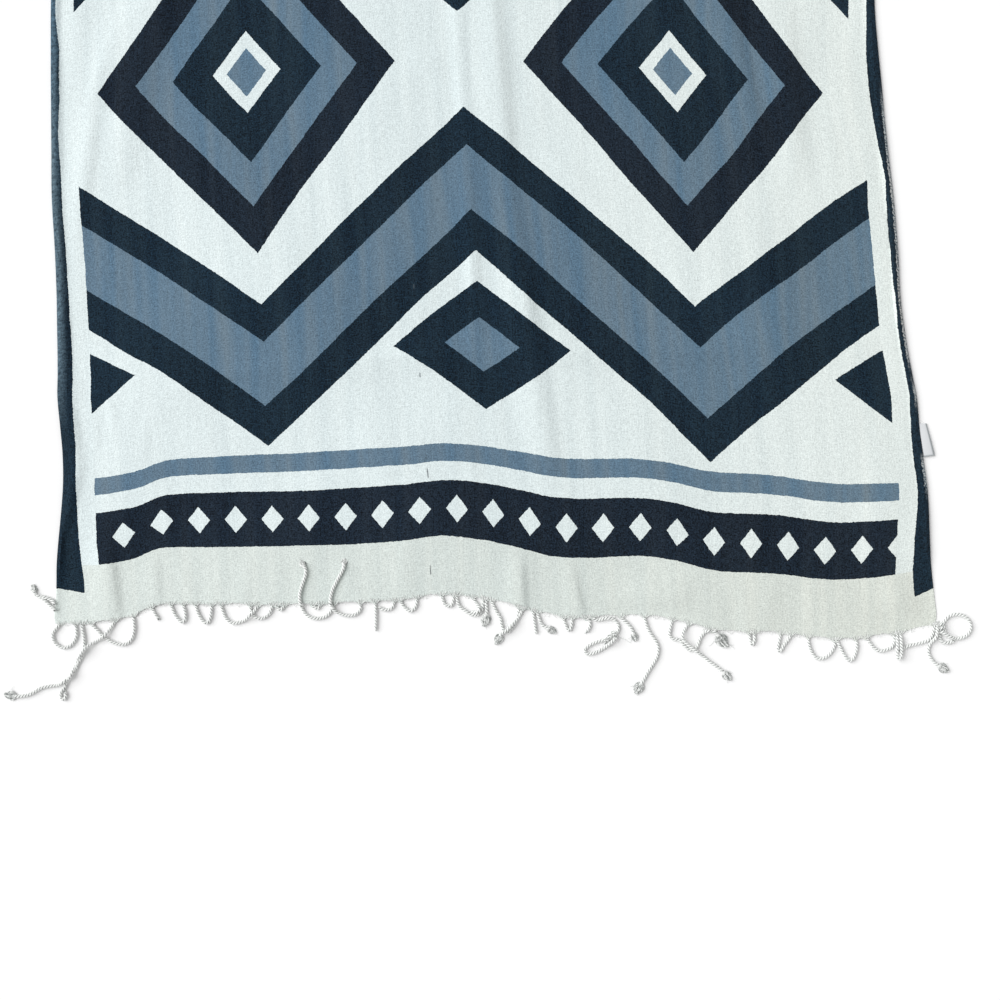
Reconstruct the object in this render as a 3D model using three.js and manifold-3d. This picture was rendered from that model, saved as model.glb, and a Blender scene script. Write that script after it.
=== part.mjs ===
// A printed cotton scarf laid flat on a surface, in millimetres.
// +Z is up, +X runs across the cloth and +Y along it, away from the near hem.
// The origin is the middle of the panel's flat underside.
import * as THREE from 'three';
import Module from 'manifold-3d';
import { mergeVertices } from 'three/addons/utils/BufferGeometryUtils.js';

// Driving dimensions of the panel
const LENGTH = 1800; // hem to hem
const WALL = 1.3; // cloth on the surface, its own bulk and nap included
const LIFT_OFF = 0.6; // relief that a fold needs before its underside leaves the surface
const SELVEDGE_ROLL = 1.2; // height that a rolled selvedge adds
const ROLL_WIDTH = 13; // width of that roll, its crest a third of it from the edge
const ROLL_START = [15, 90]; // distance from a hem over which the roll begins
const BOW = 36; // how far the weft droops at the selvedges, away from the hems
const HEM_REACH = 250; // length over which a hem's own wave fades into the bow
const ACROSS = 28; // steps of the wall across the panel
const ALONG = 45; // steps of the wall along the panel, odd so that the mount is inside a flat face

// Driving dimensions of the fringe and the label
const SEAM = 0.3; // gap between pieces that are sewn or woven together
const STRIP = 4; // width of the loose warp that roots the cords
const STRIP_HEIGHT = 1.3;
const CORD = 1.9; // width of a twisted cord
const CLEAR = 0.25; // cords end just above the surface
const CLIMB = [1.5, 7]; // distance from its root over which a cord climbs over another
const DESCENT = 8; // length over which it comes down again
const DOWN = 26; // where it is down, unless its row says otherwise
const STEP = 6; // longest straight stretch in a bent cord
const BEND = 40; // largest turn at one point of a cord, degrees
const FAR_LENGTH = 0.86; // the far fringe is shorter
const TUFT = { wide: 3.6, length: 7, flat: 0.5, sunk: 1 }; // a cord's frayed end
const LABEL = { fromHem: 101, length: 21.5, narrow: 3.6, wide: 6.6, skew: 3.2, lift: 1, thick: 1.0 };

// Where the selvedges lie, from the near hem to the far one. The panel was laid by hand, so it leans.
const OUTLINE = [
  { fromHem: 0, left: -287, right: 287.5 },
  { fromHem: 35, left: -285.5, right: 285.5 },
  { fromHem: 80, left: -282, right: 283.5 },
  { fromHem: 120, left: -282, right: 278.5 },
  { fromHem: 150, left: -283.5, right: 275 },
  { fromHem: 205, left: -285.5, right: 267 },
  { fromHem: 270, left: -288.5, right: 259.5 },
  { fromHem: 340, left: -289, right: 253.5 },
  { fromHem: 400, left: -289, right: 248 },
  { fromHem: 560, left: -285, right: 246 },
  { fromHem: 760, left: -279, right: 254 },
  { fromHem: 980, left: -275, right: 263 },
  { fromHem: 1200, left: -270, right: 268 },
  { fromHem: 1400, left: -262, right: 276 },
  { fromHem: 1560, left: -264, right: 283 },
  { fromHem: 1680, left: -275, right: 284 },
  { fromHem: 1760, left: -284, right: 286 },
  { fromHem: 1800, left: -287.5, right: 287 },
];

// The wave of the near hem: how far its last weft thread lies above a straight line.
const HEM_WAVE = [
  { across: -287, rise: -8.5 },
  { across: -262, rise: -8 },
  { across: -233, rise: -2 },
  { across: -214, rise: 2.5 },
  { across: -128, rise: 4 },
  { across: -62, rise: 7 },
  { across: -34, rise: 10.5 },
  { across: -8, rise: 8 },
  { across: 16, rise: 2.5 },
  { across: 44, rise: -4 },
  { across: 98, rise: -3.5 },
  { across: 120, rise: -6.5 },
  { across: 145, rise: -13 },
  { across: 186, rise: -14.5 },
  { across: 222, rise: -18.5 },
  { across: 256, rise: -15.5 },
  { across: 288, rise: -12 },
];

// The largest folds: each is a soft ridge from one place to another, x across and y from the near hem.
const FOLDS = [
  { from: [-24, 420], to: [-10, 150], height: 1.0, half: 14 }, // storage crease down the middle
  { from: [6, 400], to: [26, 205], height: 3.2, half: 16 }, // soft ridge beside it
  { from: [26, 235], to: [43, 95], height: 2.6, half: 15 },
  { from: [-200, 150], to: [-10, 170], height: 1.4, half: 16 }, // storage crease across the panel
  { from: [-10, 170], to: [170, 172], height: 1.5, half: 16 },
  { from: [-214, 440], to: [-246, 290], height: 2.2, half: 20 }, // beside the left trough
  { from: [180, 390], to: [194, 290], height: 1.9, half: 18 }, // beside the right trough
  { from: [-248, 45], to: [-249, -4], height: 1.8, half: 12 }, // short folds of the pale hem
  { from: [20, 42], to: [22, -2], height: 1.6, half: 12 },
  { from: [-200, 640], to: [150, 655], height: 1.5, half: 20 }, // hidden length, much the same
  { from: [-34, 800], to: [10, 480], height: 1.4, half: 18 },
  { from: [90, 760], to: [150, 520], height: 2.4, half: 24 },
  { from: [-180, 985], to: [190, 970], height: 1.7, half: 22 },
  { from: [-150, 1120], to: [-95, 820], height: 2.6, half: 24 },
  { from: [20, 1290], to: [-12, 960], height: 1.8, half: 20 },
  { from: [-190, 1120], to: [130, 1135], height: 1.4, half: 22 },
  { from: [130, 1330], to: [175, 1090], height: 2.2, half: 24 },
  { from: [-130, 1365], to: [190, 1350], height: 1.5, half: 22 },
  { from: [-60, 1600], to: [-20, 1330], height: 2.7, half: 20 },
  { from: [-170, 1610], to: [160, 1590], height: 1.5, half: 20 },
  { from: [205, 1640], to: [228, 1480], height: 1.9, half: 18 },
  { from: [-70, 1806], to: [-64, 1740], height: 1.6, half: 14 },
];

// The cords of the near fringe, from left to right. A cord leaves the hem at root, leaning lean degrees from
// straight out, and then follows runs of [length, turn in degrees]. over is how far it climbs over what it
// crosses, and down where it is back on the surface. It ends as a plain cut, as a tuft, or back in the hem.
const CORDS = [
  { root: -287, lean: -100, runs: [[3, -75], [8, 30], [11, 10], [6, -40]], end: 'tuft' },
  { root: -284, lean: -50, runs: [[8, 55], [8, 75], [10, 95]], end: 'hem' },
  { root: -270, lean: 6, runs: [[12, -10], [10, -16], [14, -10], [5, 14]], end: 'tuft' },
  { root: -250, lean: -26, runs: [[9, -24], [12, -14], [10, 32], [16, 4], [5, -46], [23, 6], [6, -22]],
    over: 2.6, down: 64, end: 'tuft' },
  { root: -262, lean: 46, runs: [[19, 16], [6, 35], [6, 50], [5, 30]], end: 'hem' },
  { root: -224, lean: 50, runs: [[6, -20]], end: 'plain' },
  { root: -212, lean: 38, runs: [[9, 6], [3, 130], [4, 2]], end: 'hem' },
  { root: -196, lean: 28, runs: [[9, 6], [3, 124], [6, 4]], end: 'hem' },
  { root: -179, lean: 14, runs: [[6, 28], [6, 40], [6, 42], [4, 20]], end: 'hem' },
  { root: -157.5, lean: 0, runs: [[5, 40], [5, 50], [4, 50], [2, 25]], end: 'hem' },
  { root: -143, lean: 50, runs: [[3, 0], [3, 112]], end: 'hem' },
  { root: -119, lean: 56, runs: [[3, 0], [3, 116]], end: 'hem' },
  { root: -107, lean: 15, runs: [[3, -45], [13, -82], [11, -48], [7, -25], [12, 0], [9, 35]],
    over: 1.8, down: 90, end: 'tuft' },
  { root: -87, lean: 0, runs: [[4, -60], [13, -50], [9, -60], [7, -28], [18, -18], [6, 55]],
    over: 1.8, down: 90, end: 'tuft' },
  { root: -78, lean: 2, runs: [[15, 2]], end: 'plain' },
  { root: -74, lean: 60, runs: [[4, 20], [3, 60]], end: 'hem' },
  { root: -62, lean: 42, runs: [[6, 8], [4, 84], [2, 4]], end: 'hem' },
  { root: -37, lean: 40, runs: [[5, 10], [3, 80], [2, 6]], end: 'hem' },
  { root: -25, lean: 36, runs: [[8, 10], [5, 50], [5, 50]], end: 'hem' },
  { root: -17.5, lean: 24, runs: [[8, 8], [4, 92], [3, 4]], over: 3.2, end: 'plain' },
  { root: -6, lean: 4, runs: [[8, -8], [4, -16]], end: 'tuft' },
  { root: -2, lean: 60, runs: [[5, -40], [10, 4], [4, 106], [7, 36]], end: 'hem' },
  { root: 18, lean: -40, runs: [[15, -6], [5, 6]], over: 2.4, end: 'tuft' },
  { root: 25.5, lean: 3, runs: [[10, 0]], end: 'plain' },
  { root: 30, lean: 40, runs: [[6, 10], [3, 0]], end: 'tuft' },
  { root: 44, lean: 20, runs: [[5, 6], [3, 130], [1, 0]], end: 'hem' },
  { root: 58, lean: 60, runs: [[4, 0], [3, -85], [3, 0]], end: 'plain' },
  { root: 70, lean: 92, runs: [[7, -12], [6, -70], [3, -40], [3, -32], [21, -6], [3, 165], [12, 25]],
    over: 2.4, down: 38, end: 'plain' },
  { root: 84, lean: 50, runs: [[6, -20], [5, -14], [3, -6]], end: 'tuft' },
  { root: 98, lean: 6, runs: [[11, 26], [7, -8], [9, -42], [14, -12], [7, -34]], end: 'tuft' },
  { root: 115, lean: -6, runs: [[7, 10], [4, 60], [11, -6], [4, 84], [7, -8]], end: 'hem' },
  { root: 125, lean: -34, runs: [[6, 8], [4, 50], [10, 24], [17, 6], [3, -20]],
    over: 2.6, down: 34, end: 'tuft' },
  { root: 146, lean: 18, runs: [[4, 12], [2, 6]], end: 'tuft' },
  { root: 167, lean: 0, runs: [[6, 2]], end: 'plain' },
  { root: 186, lean: -10, runs: [[7, 4], [4, 146], [5, 0]], end: 'hem' },
  { root: 204, lean: 4, runs: [[8, 22], [6, 56], [6, 50], [4, 30]], end: 'hem' },
  { root: 223, lean: 28, runs: [[11, 4], [4, 100], [6, 30], [4, 14]], end: 'hem' },
  { root: 242, lean: 40, runs: [[8, 20], [5, 40], [6, 24], [3, 50]], end: 'hem' },
  { root: 263.5, lean: 0, runs: [[13, 2]], end: 'plain' },
  { root: 280.5, lean: -10, runs: [[5, -50], [11, -16]], end: 'plain' },
  { root: 284, lean: -20, runs: [[6, 6], [9, 50], [8, 48], [5, 30]], end: 'tuft' },
  { root: 286.5, lean: 76, runs: [[4, 44], [7, 36], [8, -62], [11, -95], [10, -85], [8, -12]], end: 'plain' },
];

// What each piece looks like
const LOOKS = {
  cloth: { color: '#d9e5e6', roughness: 0.95 },
  fringe: { color: '#dde3e1', roughness: 0.9 },
  label: { color: '#f1f2f0', roughness: 0.7 },
};

const wasm = await Module();
wasm.setup();
const { clamp, degToRad, lerp, smoothstep } = THREE.MathUtils;

/** The value of a table's column at a place along its key column, on a smooth line through the rows. */
function readTable(rows, key, column, place) {
  const last = rows.length - 1;
  const row = clamp(rows.findIndex((entry) => entry[key] > place) - 1, 0, last - 1);
  const index = place >= rows[last][key] ? last - 1 : row;
  const slope = (at) => {
    const before = rows[Math.max(at - 1, 0)];
    const after = rows[Math.min(at + 1, last)];
    return (after[column] - before[column]) / (after[key] - before[key]);
  };
  const span = rows[index + 1][key] - rows[index][key];
  const share = clamp((place - rows[index][key]) / span, 0, 1);
  const rest = 1 - share;
  return (1 + 2 * share) * rest * rest * rows[index][column]
    + share * share * (3 - 2 * share) * rows[index + 1][column]
    + share * rest * rest * span * slope(index)
    - share * share * rest * span * slope(index + 1);
}

/** How far the near hem lies above its straight line, at a place across. */
const hemRise = (across) => readTable(HEM_WAVE, 'across', 'rise', across);

/** Where a selvedge lies across, at a height above the near hem's straight line. */
const selvedge = (side, height) => readTable(OUTLINE, 'fromHem', side, height);

/** Where a point of the panel lies, from its share across (-1 to 1) and its length from the near hem. */
function panelPoint(share, fromHem) {
  const across = (height) => lerp(selvedge('left', height), selvedge('right', height), (share + 1) / 2);
  const near = 1 - smoothstep(fromHem, 0, HEM_REACH);
  const far = 1 - smoothstep(LENGTH - fromHem, 0, HEM_REACH);
  const bow = BOW * (1 / 3 - share * share) * Math.cos(Math.PI * fromHem / LENGTH);
  const wave = near * hemRise(across(0)) - far * hemRise(-across(LENGTH)) + (1 - near - far) * bow;
  const height = fromHem + wave;
  return new THREE.Vector2(across(height), height - LENGTH / 2);
}

/** How far folds raise the cloth at a place: x across and y from the near hem's straight line. */
function relief(x, y) {
  const heights = FOLDS.map(({ from, to, height, half }) => {
    const [dx, dy] = [to[0] - from[0], to[1] - from[1]];
    const along = clamp(((x - from[0]) * dx + (y - from[1]) * dy) / (dx * dx + dy * dy), 0, 1);
    const away = Math.hypot(x - from[0] - along * dx, y - from[1] - along * dy) / half;
    const ends = 0.5 + 0.5 * Math.sin(Math.PI * along);
    return away < 1 ? height * ends * 0.5 * (1 + Math.cos(Math.PI * away)) : 0;
  });
  return Math.max(0, ...heights);
}

/** The height that the rolled selvedges add. They lie flat at the hems. */
function selvedgeRoll(share, fromHem, width) {
  const inward = (1 - Math.abs(share)) * width / 2;
  const rolled = smoothstep(Math.min(fromHem, LENGTH - fromHem), ...ROLL_START);
  const away = clamp((inward - ROLL_WIDTH / 3) / (ROLL_WIDTH * 2 / 3), -1, 1);
  return rolled * SELVEDGE_ROLL * 0.5 * (1 + Math.cos(Math.PI * away));
}

/** Evenly counted places from -1 to 1, closer together at both ends and, if asked, in the middle. */
function places(count, squeeze, waves) {
  return Array.from({ length: count + 1 }, (_, step) => {
    const even = 2 * step / count - 1;
    return even + squeeze * Math.sin(waves * Math.PI * even) / (waves * Math.PI);
  });
}

const COLUMNS = places(ACROSS, -0.5, 2);
const ROWS = places(ALONG, 0.6, 1).map((share) => (share + 1) / 2 * LENGTH);

/** A closed wall over a grid of points, given as [top, bottom] pairs by row and column. */
function gridWall(grid) {
  const wide = grid[0].length;
  const points = grid.flat(2);
  const at = (row, column, layer) => 2 * (row * wide + column) + layer;
  const faces = [];
  const quad = (a, b, c, d) => faces.push(a, b, c, a, c, d);
  for (let row = 0; row + 1 < grid.length; row += 1) {
    for (let column = 0; column + 1 < wide; column += 1) {
      quad(at(row, column, 0), at(row, column + 1, 0), at(row + 1, column + 1, 0), at(row + 1, column, 0));
      quad(at(row, column, 1), at(row + 1, column, 1), at(row + 1, column + 1, 1), at(row, column + 1, 1));
    }
    for (const [column, flip] of [[0, false], [wide - 1, true]]) {
      const loop = [at(row, column, 0), at(row + 1, column, 0), at(row + 1, column, 1), at(row, column, 1)];
      quad(...(flip ? loop.reverse() : loop));
    }
  }
  for (let column = 0; column + 1 < wide; column += 1) {
    for (const [row, flip] of [[0, true], [grid.length - 1, false]]) {
      const loop = [at(row, column, 0), at(row, column + 1, 0), at(row, column + 1, 1), at(row, column, 1)];
      quad(...(flip ? loop.reverse() : loop));
    }
  }
  const geometry = new THREE.BufferGeometry().setFromPoints(points);
  geometry.setIndex(faces);
  geometry.computeVertexNormals();
  return geometry;
}

/** The woven panel: a wall whose underside is flat wherever no fold lifts it. */
function panel() {
  const grid = ROWS.map((fromHem) => {
    const width = panelPoint(1, fromHem).x - panelPoint(-1, fromHem).x;
    return COLUMNS.map((share) => {
      const { x, y } = panelPoint(share, fromHem);
      const fold = relief(x, y + LENGTH / 2);
      const top = WALL + fold + selvedgeRoll(share, fromHem, width);
      return [new THREE.Vector3(x, y, top), new THREE.Vector3(x, y, Math.max(0, fold - LIFT_OFF))];
    });
  });
  return gridWall(grid);
}

/** The strip of loose warp along the near hem, parted from the cloth by the seam gap. */
function hemStrip() {
  const line = (out) => COLUMNS.map((share) => {
    const { x, y } = panelPoint(share, 0);
    return [new THREE.Vector3(x, y - out, STRIP_HEIGHT), new THREE.Vector3(x, y - out, 0)];
  });
  return gridWall([line(SEAM + STRIP), line(SEAM)]);
}

/** A cord's middle line keeps the points that it is given, however close they lie. */
class CordPath extends THREE.CatmullRomCurve3 {
  getUtoTmapping(share) {
    return share;
  }
}

/** The middle line of the strip of loose warp, at a place across. */
const stripLine = (across) => hemRise(across) - LENGTH / 2 - SEAM - STRIP / 2;

/** A cord's middle line, from its root in the strip, with the heading that it ends on. */
function cordLine({ root, lean, runs, over = 0, down = DOWN, end }) {
  const total = runs.reduce((sum, [run]) => sum + run, 0);
  const spot = new THREE.Vector2(root, stripLine(root));
  const points = [];
  let heading = degToRad(lean);
  let gone = 0;
  const mark = () => {
    const home = smoothstep(total - gone, 0, DESCENT);
    const fall = end === 'hem' ? home : 1 - smoothstep(gone, down - DESCENT, down);
    const height = CLEAR + CORD / 2 + over * smoothstep(gone, ...CLIMB) * fall;
    points.push(new THREE.Vector3(spot.x, spot.y, height));
  };
  const advance = (length) => {
    spot.x += Math.sin(heading) * length;
    spot.y -= Math.cos(heading) * length;
  };
  mark();
  for (const [run, turn] of runs) {
    const steps = Math.ceil(Math.max(run / STEP, Math.abs(turn) / BEND));
    for (let step = 0; step < steps; step += 1) {
      heading += degToRad(turn) / steps / 2;
      advance(run / steps);
      heading += degToRad(turn) / steps / 2;
      gone += run / steps;
      mark();
    }
  }
  if (end === 'hem') {
    advance((stripLine(spot.x) - spot.y) / -Math.cos(heading));
    mark();
  }
  return { points, heading };
}

/** One twisted cord of the near fringe, as solids that may touch: its run and, where it has one, its tuft. */
function cord(entry) {
  const { points, heading } = cordLine(entry);
  const half = CORD / 2;
  const section = new THREE.Shape([[-half, -half], [half, -half], [half, half], [-half, half]]
    .map(([u, v]) => new THREE.Vector2(u, v)));
  const steps = points.length - 1;
  const solids = [new THREE.ExtrudeGeometry(section,
    { steps, bevelEnabled: false, extrudePath: new CordPath(points) })];
  if (entry.end === 'tuft') {
    const tuft = new THREE.CylinderGeometry(TUFT.wide / Math.SQRT2, CORD / 2, TUFT.length, 4);
    tuft.rotateY(Math.PI / 4).scale(1, 1, TUFT.flat).translate(0, TUFT.length / 2 - TUFT.sunk, 0);
    tuft.rotateZ(heading - Math.PI).translate(...points[steps].toArray());
    solids.push(tuft);
  }
  return solids;
}

/** A three.js geometry as a manifold solid. */
function toSolid(geometry) {
  const bare = geometry.clone();
  bare.deleteAttribute('normal');
  bare.deleteAttribute('uv');
  const merged = mergeVertices(bare, 1e-4);
  return new wasm.Manifold(new wasm.Mesh({
    numProp: 3,
    vertProperties: new Float32Array(merged.attributes.position.array),
    triVerts: new Uint32Array(merged.index.array),
  }));
}

/** A manifold solid as a three.js geometry. */
function toGeometry(solid) {
  const { vertProperties, triVerts } = solid.getMesh();
  const geometry = new THREE.BufferGeometry();
  geometry.setAttribute('position', new THREE.BufferAttribute(new Float32Array(vertProperties), 3));
  geometry.setIndex(new THREE.BufferAttribute(new Uint32Array(triVerts), 1));
  geometry.computeVertexNormals();
  return geometry;
}

/** One end's fringe: its strip and the cords that are rooted in it. */
function fringe(cords) {
  const solids = [hemStrip(), ...cords.flatMap(cord)].map(toSolid);
  return toGeometry(solids.reduce((whole, solid) => whole.add(solid)));
}

/** The far end's cords: the near ones turned about, shorter, and with every seventh one lost. */
function farCords() {
  return CORDS.filter((_, index) => index % 7 !== 4)
    .map((entry) => ({ ...entry, runs: entry.runs.map(([run, turn]) => [run * FAR_LENGTH, turn]) }));
}

/** The care label: a bare tape that stands out of the right selvedge and widens away from the hem's side. */
function careLabel() {
  const edge = (height) => selvedge('right', height) + SEAM;
  const { fromHem, length, narrow, wide, skew, lift, thick } = LABEL;
  const outline = new THREE.Shape([
    new THREE.Vector2(edge(fromHem) + skew, fromHem),
    new THREE.Vector2(edge(fromHem) + wide, fromHem + lift),
    new THREE.Vector2(edge(fromHem + length) + narrow, fromHem + length),
    new THREE.Vector2(edge(fromHem + length), fromHem + length),
  ]);
  return new THREE.ExtrudeGeometry(outline, { depth: thick, bevelEnabled: false })
    .translate(0, -LENGTH / 2, 0);
}

/** A named piece in its own material. */
function piece(name, geometry, look) {
  const mesh = new THREE.Mesh(geometry, new THREE.MeshStandardMaterial({ metalness: 0, ...look }));
  mesh.name = name;
  return mesh;
}

const scarf = new THREE.Group();
scarf.add(piece('cloth', panel(), LOOKS.cloth));
scarf.add(piece('fringe_near', fringe(CORDS), LOOKS.fringe));
const farFringe = piece('fringe_far', fringe(farCords()), LOOKS.fringe);
farFringe.rotation.z = Math.PI;
scarf.add(farFringe);
scarf.add(piece('care_label', careLabel(), LOOKS.label));

export default scarf;
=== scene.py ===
"""A printed cotton scarf laid flat on a surface, dressed for a studio picture.

Everything is built in metres in the CAD model's frame: +Z is up, +X runs across the cloth, +Y along it and
away from the near hem, and the origin is the middle of the panel's flat underside. Tables are in millimetres.
"""
import logging
import math
from dataclasses import dataclass
from enum import Enum
from typing import Any, Callable, Mapping, NamedTuple, Sequence

import bpy
import numpy as np
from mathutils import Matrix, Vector

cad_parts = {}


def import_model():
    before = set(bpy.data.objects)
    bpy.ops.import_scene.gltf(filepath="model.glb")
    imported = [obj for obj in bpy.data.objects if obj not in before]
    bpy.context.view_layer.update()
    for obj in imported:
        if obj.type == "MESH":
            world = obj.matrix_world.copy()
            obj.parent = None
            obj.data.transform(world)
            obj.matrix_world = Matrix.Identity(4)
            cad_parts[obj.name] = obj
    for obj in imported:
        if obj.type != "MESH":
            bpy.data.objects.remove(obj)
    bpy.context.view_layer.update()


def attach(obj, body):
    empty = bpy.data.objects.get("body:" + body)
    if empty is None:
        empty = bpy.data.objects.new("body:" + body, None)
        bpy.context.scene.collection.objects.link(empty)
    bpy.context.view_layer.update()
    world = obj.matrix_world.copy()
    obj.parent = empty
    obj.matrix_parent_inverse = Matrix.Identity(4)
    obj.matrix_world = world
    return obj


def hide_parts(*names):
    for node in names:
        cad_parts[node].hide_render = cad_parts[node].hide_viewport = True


LOG = logging.getLogger("scarf")
MM = 0.001

# Light that falls on a level white surface, so that finishes keep the hex colours given for them
LEVEL_LIGHT = 1.085


class End(Enum):
    """How a fringe cord ends."""

    PLAIN = "plain"
    TUFT = "tuft"
    HEM = "hem"


class Crest(Enum):
    """How a crease is shaped across: a soft wave, or pressed in with a sharp crest."""

    SOFT = "soft"
    PRESSED = "pressed"


# Where the selvedges lie: height above the near hem's straight line, left edge, right edge
OUTLINE = np.array([
    (0, -287, 287.5), (12, -285.8, 286), (35, -285, 283.6), (80, -281.2, 281.6), (102, -281.4, 278.6),
    (120, -282.8, 276.4), (140, -284.8, 274.6), (155, -284.6, 271.6), (180, -284.8, 267.2),
    (205, -285.3, 264), (235, -286.4, 262.4), (270, -288.5, 259.5), (300, -288.8, 255.9), (340, -289, 252),
    (400, -289, 247), (560, -285, 246), (760, -279, 254), (980, -275, 263), (1200, -270, 268),
    (1400, -262, 276), (1560, -264, 283), (1680, -275, 284), (1760, -284, 286), (1800, -287.5, 287),
])

# The near hem's wave: place across, rise of its last weft thread above a straight line
HEM_WAVE = np.array([
    (-287, -8.5), (-262, -8), (-247, -6), (-235, -3), (-225, 2), (-214, 4.4), (-190, 4.2), (-128, 4),
    (-62, 7), (-34, 10.5), (-8, 8), (16, 2.5), (44, -4), (98, -3.5), (120, -6.5), (145, -13), (186, -14.5),
    (222, -18.5), (256, -15.5), (274, -12), (288, -8.5),
])

# How much of each selvedge is tucked under, and how wide its roll is: distance from the near hem, left tuck,
# right tuck, left roll, right roll
TUCKS = np.array([
    (0, 0.3, 0.3, 0.6, 0.6), (15, 0.4, 0.4, 0.8, 0.8), (36, 2, 1.2, 1.8, 1.4), (60, 6, 3.6, 2.5, 2.2),
    (90, 10, 6.6, 9, 3.2), (110, 10.4, 7, 12.5, 3.4), (135, 9.6, 8, 10, 3.4), (165, 9.2, 8.6, 8.5, 3),
    (197, 9.9, 8.6, 6.8, 3.2), (223, 10.8, 9.8, 6, 3.2), (251, 11.5, 8.5, 5.4, 3.4),
    (276, 12.2, 7.9, 5.3, 3.6), (301, 13, 9.2, 5.2, 4), (329, 14.1, 6.8, 5.4, 4.2),
    (355, 13.2, 4.9, 4.8, 4.4), (381, 13.6, 5.5, 4.6, 4.5), (407, 15.8, 7.9, 4.4, 4.6),
    (450, 15, 7.8, 5.6, 4.2), (600, 13.4, 9, 7.4, 3.6), (820, 12, 10.2, 5, 5.8),
    (1010, 13.6, 8.4, 6.6, 3.6), (1200, 12.4, 9.6, 4.6, 5.2), (1400, 13, 8, 7.2, 3.8),
    (1580, 11.8, 9.4, 5, 4.6), (1710, 9.4, 8.8, 4.4, 4), (1750, 4, 4.6, 2.6, 2.8),
    (1785, 0.4, 0.4, 0.8, 0.8), (1800, 0.3, 0.3, 0.6, 0.6),
])


class Fold(NamedTuple):
    """A ridge of the cloth from one place to another: x across, y above the near hem's straight line."""

    start: tuple[float, float]
    stop: tuple[float, float]
    height: float
    half: float


class Crease(NamedTuple):
    """A finer ridge, or a trough where its height is negative, with its own width on each side."""

    start: tuple[float, float]
    stop: tuple[float, float]
    height: float
    left: float
    right: float
    crest: Crest = Crest.SOFT


class Cord(NamedTuple):
    """A fringe cord: the places it passes, across and above the near hem's straight line, from its root.

    raised numbers the places where it lies over another cord, and bulk is the size of its frayed end.
    """

    places: tuple[tuple[float, float], ...]
    end: End
    raised: tuple[int, ...] = ()
    bulk: float = 1.0

    def shortened(self, share: float) -> "Cord":
        """Give the same cord drawn smaller about its root."""
        (root_x, root_y), *_ = self.places
        places = tuple((root_x + (x - root_x) * share, root_y + (y - root_y) * share) for x, y in self.places)
        return self._replace(places=places)

    def roots(self, drape: "Drape") -> list[float]:
        """List the places across where the cord runs into the hem."""
        ends = [self.places[0]] + ([self.places[-1]] if self.end is End.HEM else [])
        return [x for x, y in ends if abs(y - drape.hem_rise(x)) < 4.5]


# The largest folds: start, stop, height, half width
FOLDS = [Fold(*row) for row in (
    ((-24, 420), (-10, 150), 1, 14), ((-200, 150), (-10, 170), 1.4, 16), ((-10, 170), (170, 172), 1.5, 16),
    ((-214, 440), (-246, 290), 2.2, 20), ((180, 390), (194, 290), 1.9, 18), ((-254, 45), (-252, -4), 1, 14),
    ((14, 42), (16, -2), 0.8, 14), ((-200, 640), (150, 655), 1.5, 20), ((-34, 800), (10, 480), 1.4, 18),
    ((90, 760), (150, 520), 2.4, 24), ((-180, 985), (190, 970), 1.7, 22),
    ((-150, 1120), (-95, 820), 2.6, 24), ((20, 1290), (-12, 960), 1.8, 20),
    ((-190, 1120), (130, 1135), 1.4, 22), ((130, 1330), (175, 1090), 2.2, 24),
    ((-130, 1365), (190, 1350), 1.5, 22), ((-60, 1600), (-20, 1330), 2.7, 20),
    ((-170, 1610), (160, 1590), 1.5, 20), ((205, 1640), (228, 1480), 1.9, 18),
    ((-70, 1806), (-64, 1740), 1.6, 14),
)]

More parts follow.
